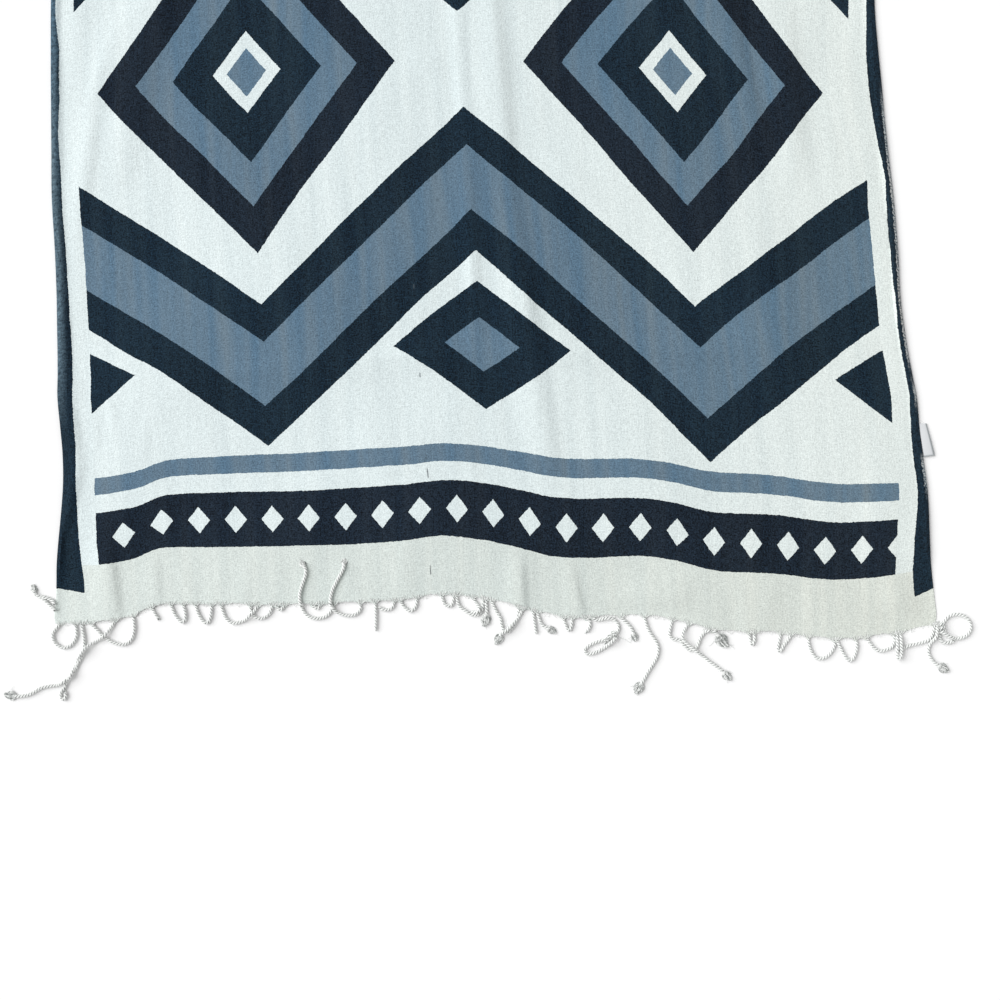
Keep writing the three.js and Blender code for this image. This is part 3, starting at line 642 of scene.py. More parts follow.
        colour = add_node(tree, "ShaderNodeMix", {0: beads.outputs[0], 6: colour, 7: as_lit(pale)},
                          data_type="RGBA").outputs[2]
        colour = self._ramp(tree, made["gap"], -0.3, 0.7, [
            (-0.3, pale), (-0.258, None), (0.259, pale), (0.4, None)], colour)
        return self._ramp(tree, made["edge"], -0.3, 0.7, [
            (-0.3, navy), (-0.270, None), (0.2715, navy), (0.4, None)], colour)

    def _selvedge(self, tree: bpy.types.NodeTree, cut: bpy.types.NodeSocket,
                  colour: bpy.types.NodeSocket) -> bpy.types.NodeSocket:
        """Add the mottled back where a selvedge rolls up, a painted highlight on the left selvedge's roll,
        and one dark-flecked warp thread.
        """
        edge = add_node(tree, "ShaderNodeSeparateXYZ",
                        {"Vector": add_node(tree, "ShaderNodeUVMap", uv_map="selvedge").outputs["UV"]})
        parts = add_node(tree, "ShaderNodeSeparateXYZ", {"Vector": cut})
        rough = add_node(tree, "ShaderNodeTexNoise", {"Vector": cut, "Scale": 420.0, "Detail": 2.0})
        colour = self._rolled_back(tree, cut, edge, parts, rough, colour)
        # The left selvedge's roll is painted paler, except close to the hems: a painted highlight where the
        # light from the left catches the roll
        near_fold = add_node(tree, "ShaderNodeMapRange", {
            "Value": edge.outputs["X"], "From Min": 0.001, "From Max": 0.0085, "To Min": 0.34, "To Max": 0.0},
            interpolation_type="SMOOTHSTEP")
        to_hem = add_node(tree, "ShaderNodeMath", {0: parts.outputs["Y"], 1: self.half_length},
                          operation="PINGPONG")
        from_hem = add_node(tree, "ShaderNodeMapRange", {
            "Value": to_hem.outputs[0], "From Min": 0.135, "From Max": 0.185})
        patchy = add_node(tree, "ShaderNodeMapRange", {
            "Value": rough.outputs["Fac"], "From Min": 0.3, "From Max": 0.7, "To Min": 0.35, "To Max": 1.3})
        left = add_node(tree, "ShaderNodeMath", {0: parts.outputs["X"], 1: 0.0}, operation="LESS_THAN")
        mask = self._product(tree, [node.outputs[0] for node in (near_fold, from_hem, patchy, left)])
        colour = add_node(tree, "ShaderNodeMix", {0: mask, 6: colour, 7: as_lit(self.painted_roll_highlight)},
                          data_type="RGBA").outputs[2]
        # One warp thread carries a few dark flecks, 0.042 m left of the middle
        away = add_node(tree, "ShaderNodeMath", {0: parts.outputs["X"], 1: -0.0417}, operation="SUBTRACT")
        off = add_node(tree, "ShaderNodeMath", {0: away.outputs[0]}, operation="ABSOLUTE")
        near = add_node(tree, "ShaderNodeMath", {0: off.outputs[0], 1: 0.0004}, operation="LESS_THAN")
        run = add_node(tree, "ShaderNodeMath", {0: parts.outputs["Y"], 1: 95.0}, operation="MULTIPLY")
        dash = add_node(tree, "ShaderNodeTexNoise", {"W": run.outputs[0], "Scale": 1.0, "Detail": 2.0},
                        noise_dimensions="1D")
        shown = add_node(tree, "ShaderNodeMapRange",
                         {"Value": dash.outputs["Fac"], "From Min": 0.46, "From Max": 0.60, "To Max": 0.75})
        flecked = self._stretches(tree, parts.outputs["Y"], 0.25, self.fleck_shows)
        flecked.color_ramp.interpolation = "CONSTANT"
        mask = self._product(tree, [near.outputs[0], shown.outputs[0], flecked.outputs["Color"]])
        return add_node(tree, "ShaderNodeMix", {0: mask, 6: colour, 7: as_lit(self.fleck)},
                        data_type="RGBA").outputs[2]

    def _rolled_back(self, tree: bpy.types.NodeTree, cut: bpy.types.NodeSocket, edge: bpy.types.Node,
                     parts: bpy.types.Node, rough: bpy.types.Node,
                     colour: bpy.types.NodeSocket) -> bpy.types.NodeSocket:
        """Show the cloth's mottled back on stretches of the right selvedge's roll.

        Args:
            tree: The material's tree.
            cut: Places on the flat cut.
            edge: The node that gives the distance from the fold line and along.
            parts: The node that gives places across and along.
            rough: A noise that makes the back's border uneven.
            colour: The colour beneath.

        Returns:
            The colour with the back on it.
        """
        reach = add_node(tree, "ShaderNodeMath", {0: rough.outputs["Fac"], 1: 0.0024, 2: 0.0012},
                         operation="MULTIPLY_ADD")
        rolled = add_node(tree, "ShaderNodeMath", {0: edge.outputs["X"], 1: reach.outputs[0]},
                          operation="LESS_THAN")
        where = self._stretches(tree, edge.outputs["Y"], 2 * self.half_length, self.back_shows)
        right = add_node(tree, "ShaderNodeMath", {0: parts.outputs["X"], 1: 0.0}, operation="GREATER_THAN")
        speck = add_node(tree, "ShaderNodeTexNoise", {"Vector": cut, "Scale": 800.0, "Detail": 1.0})
        tone = add_node(tree, "ShaderNodeMapRange",
                        {"Value": speck.outputs["Fac"], "From Min": 0.40, "From Max": 0.56})
        back = add_node(tree, "ShaderNodeMix", {
            0: tone.outputs[0], 6: as_lit(self.fleck), 7: as_lit(self.back)}, data_type="RGBA")
        mask = self._product(tree, [rolled.outputs[0], where.outputs["Color"], right.outputs[0]])
        return add_node(tree, "ShaderNodeMix", {0: mask, 6: colour, 7: back.outputs[2]},
                        data_type="RGBA").outputs[2]

    def _stretches(self, tree: bpy.types.NodeTree, along: bpy.types.NodeSocket, length: float,
                   stops: Sequence[tuple[float, int]]) -> bpy.types.Node:
        """Mark stretches of a length with 1, by a table of places along it."""
        share = add_node(tree, "ShaderNodeMapRange", {"Value": along, "From Min": 0.0, "From Max": length})
        ramp = add_node(tree, "ShaderNodeValToRGB", {"Fac": share.outputs[0]})
        set_stops(ramp, [(start / length, (shown, shown, shown, 1)) for start, shown in stops])
        return ramp

    def _product(self, tree: bpy.types.NodeTree,
                 factors: Sequence[bpy.types.NodeSocket | float]) -> bpy.types.NodeSocket:
        """Multiply values together."""
        product, *others = factors
        for factor in others:
            product = add_node(tree, "ShaderNodeMath", {0: product, 1: factor},
                               operation="MULTIPLY").outputs[0]
        return product

    def _grain(self, tree: bpy.types.NodeTree, cut: bpy.types.NodeSocket,
               colour: bpy.types.NodeSocket) -> tuple[bpy.types.NodeSocket, bpy.types.NodeSocket]:
        """Add the weave's grain to a colour, stronger on ink than on the bare ground.

        Args:
            tree: The material's tree.
            cut: Places on the flat cut.
            colour: The print's colour.

        Returns:
            The colour with its grain, and the weave's height.
        """
        # Real threads lie about 0.5 mm apart, finer than a pixel of the picture, so uneven threads are drawn
        # at 1 mm by 4 mm both ways, with specks, slubs of 2 mm by 34 mm along the warp, and soft wide streaks
        grains = []
        for size, detail in (
                ((0.00105, 0.004, 1), 1.0), ((0.004, 0.00105, 1), 1.0), ((0.0009, 0.0009, 1), 1.0),
                ((0.002, 0.034, 1), 2.0), ((0.009, 0.15, 1), 1.0), ((0.075, 0.13, 1), 2.0)):
            stretched = add_node(tree, "ShaderNodeVectorMath", {0: cut, 1: size}, operation="DIVIDE")
            noise = add_node(tree, "ShaderNodeTexNoise",
                             {"Vector": stretched.outputs["Vector"], "Scale": 1.0, "Detail": detail})
            grains.append(noise.outputs["Fac"])
        turn = math.pi / self.thread
        threads = add_node(tree, "ShaderNodeVectorMath", {0: cut, 1: (turn, turn, 0)}, operation="MULTIPLY")
        sines = add_node(tree, "ShaderNodeVectorMath", {0: threads.outputs["Vector"]}, operation="SINE")
        waves = add_node(tree, "ShaderNodeSeparateXYZ", {"Vector": sines.outputs["Vector"]})
        relief = self._product(tree, [waves.outputs["X"], waves.outputs["Y"], 0.25])
        total = 0.0
        for grain, share, rise in zip(grains, self.grain_shares, self.grain_rises):
            value = add_node(tree, "ShaderNodeMath", {0: grain, 1: 0.5}, operation="SUBTRACT").outputs[0]
            total = add_node(tree, "ShaderNodeMath", {0: value, 1: share, 2: total},
                             operation="MULTIPLY_ADD").outputs[0]
            if rise:
                relief = add_node(tree, "ShaderNodeMath", {0: value, 1: rise, 2: relief},
                                  operation="MULTIPLY_ADD").outputs[0]
        # Ink takes unevenly, so that the darker it is, the more the threads show
        bright = add_node(tree, "ShaderNodeRGBToBW", {"Color": colour})
        power = add_node(tree, "ShaderNodeMath", {0: bright.outputs[0], 1: -0.45}, operation="POWER")
        depth = add_node(tree, "ShaderNodeMath", {0: power.outputs[0], 1: 0.40}, operation="MULTIPLY")
        change = add_node(tree, "ShaderNodeMath", {0: total, 1: depth.outputs[0], 2: 1.0},
                          operation="MULTIPLY_ADD")
        least = add_node(tree, "ShaderNodeMath", {0: change.outputs[0], 1: 0.25}, operation="MAXIMUM")
        shaded = add_node(tree, "ShaderNodeVectorMath", {0: colour, "Scale": least.outputs[0]},
                          operation="SCALE")
        # The ink's streaks run bluer and greyer; the bare ground has next to none
        inked = add_node(tree, "ShaderNodeMapRange", {
            "Value": bright.outputs[0], "From Min": 0.25, "From Max": 0.7, "To Min": 1.0, "To Max": 0.06})
        middle = add_node(tree, "ShaderNodeMath", {0: grains[4], 1: 0.5}, operation="SUBTRACT")
        thinner = self._product(tree, [middle.outputs[0], inked.outputs[0]])
        hue = add_node(tree, "ShaderNodeVectorMath", {0: (0.55, 0.06, -0.26), "Scale": thinner},
                       operation="SCALE")
        streaked = add_node(tree, "ShaderNodeVectorMath", {
            0: shaded.outputs["Vector"], 1: hue.outputs["Vector"], 2: shaded.outputs["Vector"]},
            operation="MULTIPLY_ADD")
        # Cloth and ink are painted darker away from the left selvedge, a painted fall-off of the light from
        # the left, and warmer towards the right
        across = add_node(tree, "ShaderNodeSeparateXYZ", {"Vector": cut}).outputs["X"]
        place = add_node(tree, "ShaderNodeMapRange", {"Value": across, "From Min": -0.29, "From Max": 0.29})
        painted_falloff = add_node(tree, "ShaderNodeValToRGB", {"Fac": place.outputs[0]})
        set_stops(painted_falloff, [(start, (*tint, 1)) for start, tint in zip((0, 0.5, 1), self.falloff_tints)])
        tinted = add_node(tree, "ShaderNodeVectorMath", {
            0: streaked.outputs["Vector"], 1: painted_falloff.outputs["Color"]}, operation="MULTIPLY")
        return tinted.outputs["Vector"], relief


@dataclass(frozen=True)
class TwistedCotton:
    """Undyed two-ply cotton cord: matt, with a few fibres astray, its grooves darker than its crowns by
    painted shade.
    """

    name: str = "undyed_two_ply_cotton"
    crown: str = "#f4f6f4"
    # Painted shade for the grooves between the plies
    groove_shade: str = "#666d6b"
    roughness: float = 0.9

    def material(self) -> bpy.types.Material:
        """Build the material, on the attribute crown and Object coordinates."""
        material, tree = start_material(self.name)
        crown = add_node(tree, "ShaderNodeAttribute", attribute_name="crown")
        # Fibres are 0.02 mm thick, so they are drawn as a grain of about 0.5 mm
        place = add_node(tree, "ShaderNodeTexCoord").outputs["Object"]
        fibre = add_node(tree, "ShaderNodeTexNoise", {"Vector": place, "Scale": 1900.0, "Detail": 2.0})
        uneven = add_node(tree, "ShaderNodeMath", {0: fibre.outputs["Fac"], 1: 0.2, 2: crown.outputs["Fac"]},
                          operation="MULTIPLY_ADD")
        # Where crown is low, towards the grooves, the colour goes to painted shade; on the crowns it keeps
        # the cord's own pale colour
        tone = add_node(tree, "ShaderNodeMapRange",
                        {"Value": uneven.outputs[0], "From Min": 0.62, "From Max": 0.96})
        colour = add_node(tree, "ShaderNodeMix", {
            0: tone.outputs[0], 6: as_lit(self.groove_shade), 7: as_lit(self.crown)}, data_type="RGBA")
        bump = add_node(tree, "ShaderNodeBump",
                        {"Height": fibre.outputs["Fac"], "Strength": 0.5, "Distance": 0.0003})
        shader = add_node(tree, "ShaderNodeBsdfPrincipled", {
            "Base Color": colour.outputs[2], "Roughness": self.roughness, "Specular IOR Level": 0.2,
            "Sheen Weight": 0.15, "Sheen Roughness": 0.6, "Normal": bump.outputs["Normal"]})
        add_node(tree, "ShaderNodeOutputMaterial", {"Surface": shader.outputs["BSDF"]})
        return material


@dataclass(frozen=True)
class LabelTape:
    """Woven satin label tape, bare: smooth and white, with fine ribs across it and a pressed fold."""

    name: str = "woven_satin_tape"
    white: str = "#e6e7e9"
    rib: str = "#cfd3d6"
    # Painted shade for the tape's folded side and its cut lower end
    fold: str = "#8e9699"
    roughness: float = 0.55
    # Real ribs lie 0.25 mm apart and are drawn at 0.7 mm
    pitch: float = 0.0007

    def material(self) -> bpy.types.Material:
        """Build the material, on the UV map tape: share of the width, and metres along."""
        material, tree = start_material(self.name)
        parts = add_node(tree, "ShaderNodeSeparateXYZ",
                         {"Vector": add_node(tree, "ShaderNodeUVMap", uv_map="tape").outputs["UV"]})
        phase = add_node(tree, "ShaderNodeMath", {0: parts.outputs["Y"], 1: math.tau / self.pitch},
                         operation="MULTIPLY")
        wave = add_node(tree, "ShaderNodeMath", {0: phase.outputs[0]}, operation="SINE")
        share = add_node(tree, "ShaderNodeMapRange",
                         {"Value": wave.outputs[0], "From Min": -1.0, "From Max": 1.0})
        ribs = add_node(tree, "ShaderNodeMix", {
            0: share.outputs[0], 6: as_lit(self.rib), 7: as_lit(self.white)}, data_type="RGBA")
        # The outer side, where the tape folds over, and the cut lower end are greyer: painted shade where the
        # tape turns away
        side = add_node(tree, "ShaderNodeMapRange", {
            "Value": parts.outputs["X"], "From Min": 0.80, "From Max": 0.93, "To Max": 0.75})
        low = add_node(tree, "ShaderNodeMapRange", {
            "Value": parts.outputs["Y"], "From Min": 0.0004, "From Max": 0.0012, "To Min": 0.75,
            "To Max": 0.0})
        line = add_node(tree, "ShaderNodeMath", {0: side.outputs[0], 1: low.outputs[0]}, operation="MAXIMUM")
        colour = add_node(tree, "ShaderNodeMix", {
            0: line.outputs[0], 6: ribs.outputs[2], 7: as_lit(self.fold)}, data_type="RGBA")
        bump = add_node(tree, "ShaderNodeBump",
                        {"Height": wave.outputs[0], "Strength": 0.3, "Distance": 0.0001})
        shader = add_node(tree, "ShaderNodeBsdfPrincipled", {
            "Base Color": colour.outputs[2], "Roughness": self.roughness, "Specular IOR Level": 0.4,
            "Sheen Weight": 0.2, "Sheen Roughness": 0.4, "Normal": bump.outputs["Normal"]})
        add_node(tree, "ShaderNodeOutputMaterial", {"Surface": shader.outputs["BSDF"]})
        return material


@dataclass(frozen=True)
class PaperSweep:
    """Matt white paper under the scarf: flat and even, with a faint tooth."""

    name: str = "matt_white_paper"
    white: str = "#f5f5f5"

    def material(self) -> bpy.types.Material:
        """Build the material, on Object coordinates."""
        material, tree = start_material(self.name)
        place = add_node(tree, "ShaderNodeTexCoord").outputs["Object"]
        tooth = add_node(tree, "ShaderNodeTexNoise", {"Vector": place, "Scale": 600.0, "Detail": 2.0})
        bump = add_node(tree, "ShaderNodeBump",
                        {"Height": tooth.outputs["Fac"], "Strength": 0.05, "Distance": 0.0001})
        shader = add_node(tree, "ShaderNodeBsdfPrincipled", {
            "Base Color": to_linear(self.white), "Roughness": 0.95, "Specular IOR Level": 0.1,
            "Normal": bump.outputs["Normal"]})
        add_node(tree, "ShaderNodeOutputMaterial", {"Surface": shader.outputs["BSDF"]})
        return material


def show(name: str, mesh: bpy.types.Mesh) -> bpy.types.Object:
    """Put a mesh in the scene as an object at the origin."""
    piece = bpy.data.objects.new(name, mesh)
    bpy.context.scene.collection.objects.link(piece)
    return piece


@dataclass(frozen=True)
class Grid:
    """A sheet's middle surface by row and column, in metres, and its UV maps.

    Seen from the face, columns run right and rows up.
    """

    points: np.ndarray
    maps: Mapping[str, np.ndarray]


def sheet_mesh(name: str, grids: Sequence[Grid], thickness: float) -> bpy.types.Mesh:
    """Make a closed thin sheet from each grid, in one mesh.

    Args:
        name: The mesh's name.
        grids: The sheets' grids, which have the same UV maps.
        thickness: The sheets' thickness, in metres.

    Returns:
        The mesh, smooth but for its rims, each sheet with its face first and its back after it.
    """
    layers: list[np.ndarray] = []
    faces: list[np.ndarray] = []
    base = 0
    for grid in grids:
        rows, cols = grid.points.shape[:2]
        normals = np.cross(np.gradient(grid.points, axis=1), np.gradient(grid.points, axis=0))
        normals /= np.linalg.norm(normals, axis=2, keepdims=True)
        layers += [(grid.points + normals * thickness * side / 2).reshape(-1, 3) for side in (1, -1)]
        at = base + np.arange(rows * cols).reshape(rows, cols)
        quads = np.stack([at[:-1, :-1], at[:-1, 1:], at[1:, 1:], at[1:, :-1]], axis=-1).reshape(-1, 4)
        rim = np.concatenate([at[0], at[1:, -1], at[-1, -2::-1], at[-2:0:-1, 0]])
        following = np.roll(rim, -1)
        border = np.stack([rim, rim + rows * cols, following + rows * cols, following], axis=-1)
        faces += [quads, quads[:, ::-1] + rows * cols, border]
        base += 2 * rows * cols
    mesh = bpy.data.meshes.new(name)
    mesh.from_pydata(np.concatenate(layers).tolist(), [], np.concatenate(faces).tolist())
    corners = np.empty(len(mesh.loops), dtype=np.int64)
    mesh.loops.foreach_get("vertex_index", corners)
    for title in grids[0].maps:
        flat = np.concatenate([grid.maps[title].reshape(-1, 2) for grid in grids for _ in range(2)])
        mesh.uv_layers.new(name=title).data.foreach_set("uv", flat[corners].ravel())
    mesh.polygons.foreach_set("use_smooth", np.ones(len(mesh.polygons), dtype=bool))
    mesh.update()
    mesh.set_sharp_from_angle(angle=math.radians(50))
    return mesh


@dataclass(frozen=True)
class Panel:
    """The woven panel: its flat cut, how its selvedges roll under, and its thickness, in millimetres."""

    drape: Drape
    finish: PrintedCotton
    near_roots: Sequence[float]
    far_roots: Sequence[float]
    cut_width: float = 576.0
    thickness: float = 0.5
    roll: float = 1.05
    inner: float = 258.0
    hem: float = 4.0
    in_view: float = 420.0

    def build(self) -> bpy.types.Object:
        grids = [self._surface(), self._lip(self.near_roots, False), self._lip(self.far_roots, True)]
        mesh = sheet_mesh("scarf_panel", grids, self.thickness * MM)
        mesh.materials.append(self.finish.material())
        piece = show("scarf_panel", mesh)
        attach(piece, "root")
        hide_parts("cloth")
        return piece

    def _places_along(self) -> np.ndarray:
        """List the rows' distances from the near hem, closer by the hem and where a crease needs it."""
        spots = [(0, 50, 2.3), (170, 20, 2.4), *((spot, 6, 5) for spot in (648, 978, 1128, 1358, 1600))]
        return self._spaced(self.hem, self.drape.length - self.hem, spots,
                            lambda here: 4.8 if here < self.in_view else 17.0)

    def _places_across(self) -> np.ndarray:
        """List the inner columns' places on the flat cut, closer at the narrow creases."""
        spots = [(-249, 5, 1.6), (-220, 4, 2.0), (-17, 9, 1.3), (19, 7, 1.7), (54, 5, 1.8)]
        return self._spaced(-self.inner, self.inner, spots, lambda here: 3.9)

    def _spaced(self, start: float, stop: float, spots: Sequence[tuple[float, float, float]],
                widest: Callable[[float], float]) -> np.ndarray:
        """Space places from start to stop, closer about some spots.

        Args:
            start: The first place.
            stop: The last place.
            spots: Each spot's place, reach and step.
            widest: Gives the widest step at a place.

        Returns:
            The places, with both ends exact.
        """
        places = [start]
        while places[-1] < stop:
            here = places[-1]
            steps = [fine + max(0.0, abs(here - spot) - reach) * 0.4 for spot, reach, fine in spots]
            places.append(here + min([widest(here)] + steps))
        return start + (np.array(places) - start) / (places[-1] - start) * (stop - start)

    def _grid(self, cut: np.ndarray, edge: np.ndarray, along: np.ndarray, share: np.ndarray,
              lift: np.ndarray | float) -> Grid:
        """Lay part of the flat cut on the surface.

        Args:
            cut: Each point's place across the flat cut.
            edge: Its distance in from the nearer fold line.
            along: Its distance from the near hem.
            share: Its share across the visible width.
            lift: How far the roll raises it.

        Returns:
            The laid grid.
        """
        x, height = self.drape.place(share, along)
        level = np.where(edge > 0, smoothstep(edge, 2.5, 32), 0)
        z = self.thickness / 2 + lift + level * self.drape.relief(x, height)
        points = np.stack([x, height - self.drape.length / 2, z], axis=-1)
        return Grid(points * MM, {"cloth": np.stack([cut, along], axis=-1) * MM,
                                  "selvedge": np.stack([edge, along], axis=-1) * MM})

    def _lip(self, roots: Sequence[float], turned: bool) -> Grid:
        """Shape a hem's last millimetres: arched between the cords, drawn out at each, a little ragged."""
        across = np.linspace(-1, 1, 560) * (self.cut_width / 2 - 0.3)
        share = across * 2 / self.cut_width
        x, _ = self.drape.place(share, np.full_like(across, self.drape.length if turned else 0.0))
        x = -x if turned else x
        marks = np.array([-291.0, *sorted(roots), 291.0])
        after = np.clip(np.searchsorted(marks, x), 1, len(marks) - 1)
        gap = marks[after] - marks[after - 1]
        way = (x - marks[after - 1]) / gap
        inset = np.minimum(0.12 * gap, 1.9) * (1 - np.abs(2 * way - 1) ** 2.6)
        inset += 0.6 * (soft_noise(x, np.zeros_like(x), 1.6, 61 + turned) - 0.5)
        inset -= 1.4 * np.exp(-np.minimum(way, 1 - way) * gap / 1.2)
        along = inset + (self.hem + 0.6 - inset) * np.array([0, 0.3, 1])[:, None]
        if turned:
            along = (self.drape.length - along)[::-1]
        cut, shares = (np.repeat(line[None], len(along), axis=0) for line in (across, share))
        return self._grid(cut, self.cut_width / 2 - np.abs(cut), along, shares, 0.02)

    def _surface(self) -> Grid:
        """Lay the whole flat cut but its hems, with its selvedges rolled under."""
        from_hem, inner = self._places_along(), self._places_across()
        arc = np.linspace(-1, 1, 8)
        ease = np.array([0.05, 0.12, 0.2, 0.3, 0.42, 0.56, 0.72, 0.87])
        width = self.drape.width(from_hem)[:, None]
        sides = {}
        for side, column in ((-1, 1), (1, 2)):
            tuck = read_table(TUCKS, column, from_hem)[:, None]
            wobble = soft_noise(from_hem[:, None], np.full_like(tuck, 40.0 * column), 23, 11 + column)
            radius = np.minimum(self.roll * (0.7 + 0.6 * wobble), tuck * 0.8 / (np.pi / 2))
            quarter = radius * np.pi / 2
            flap = quarter - tuck * np.array([1, 0.75, 0.5, 0.25]) - quarter * np.array([1, 0.75, 0.5, 0.25])
            room = self.cut_width / 2 - tuck - self.inner
            rolled = np.concatenate([flap - quarter * np.array([0, 0.25, 0.5, 0.75]), quarter * arc,
                                     quarter + (room - quarter) * ease], axis=1)
            sides[side] = (tuck, radius, rolled)
        cut, edge = self._cut_places(sides, inner, len(from_hem))
        rolls = [read_table(TUCKS, column, from_hem)[:, None] for column in (3, 4)]
        share, lift = self._rolled_places(cut, sides, width, rolls)
        return self._grid(cut, edge, np.repeat(from_hem[:, None], cut.shape[1], axis=1), share, lift)

    def _cut_places(self, sides: Mapping[int, tuple[np.ndarray, np.ndarray, np.ndarray]], inner: np.ndarray,
                    rows: int) -> tuple[np.ndarray, np.ndarray]:
        """List each column's place on the flat cut, and its distance in from the nearer fold line."""
        left = -self.cut_width / 2 + sides[-1][0] + sides[-1][2]
        right = (self.cut_width / 2 - sides[1][0] - sides[1][2])[:, ::-1]
        cut = np.concatenate([left, np.repeat(inner[None], rows, axis=0), right], axis=1)
        edge = np.minimum(cut + self.cut_width / 2 - sides[-1][0], self.cut_width / 2 - sides[1][0] - cut)
        return cut, edge

    def _rolled_places(self, cut: np.ndarray, sides: Mapping[int, tuple[np.ndarray, np.ndarray, np.ndarray]],
                       width: np.ndarray, rolls: Sequence[np.ndarray]) -> tuple[np.ndarray, np.ndarray]:
        """Turn places on the flat cut into shares across the visible width, and the rolls' lift."""
        (tuck_l, radius_l, _), (tuck_r, radius_r, _) = sides[-1], sides[1]
        start, stop = -self.cut_width / 2 + tuck_l, self.cut_width / 2 - tuck_r
        quarter_l, quarter_r = radius_l * np.pi / 2, radius_r * np.pi / 2
        stretch = (width - radius_l - radius_r) / (stop - start - quarter_l - quarter_r)
        place = radius_l + (cut - start - quarter_l) * stretch
        lift = np.zeros_like(cut)
        for inward, tuck, radius, quarter, roll, mirrored in (
                (cut - start, tuck_l, radius_l, quarter_l, rolls[0], False),
                (stop - cut, tuck_r, radius_r, quarter_r, rolls[1], True)):
            turn = np.clip(inward / radius, -np.pi / 2, np.pi / 2)
            out = radius * (1 - np.cos(turn)) + np.maximum(-inward - quarter, 0)
            near = inward < quarter
            place = np.where(near, width - out if mirrored else out, place)
            gone = np.maximum(inward - quarter, 0)
            size = radius / self.roll
            above = 2 * radius + 0.7 * size * smoothstep(gone / roll, 0, 0.6)
            above += (0.75 * size - above) * smoothstep(gone / roll, 0.6, 1.15)
            flap = np.maximum(tuck - quarter, roll)
            settled = 1 - smoothstep((gone - flap) / (15.0 * size + 0.2), 0, 1)
            lift += np.where(near, radius * (1 + np.sin(turn)), above * settled)
        return 2 * place / width - 1, lift


@dataclass(frozen=True)
class Strand:
    """A thread or cord: its middle line in millimetres, its share of the usual thickness, its paleness."""

    points: np.ndarray
    thick: float | np.ndarray = 1.0
    tone: float = 1.0


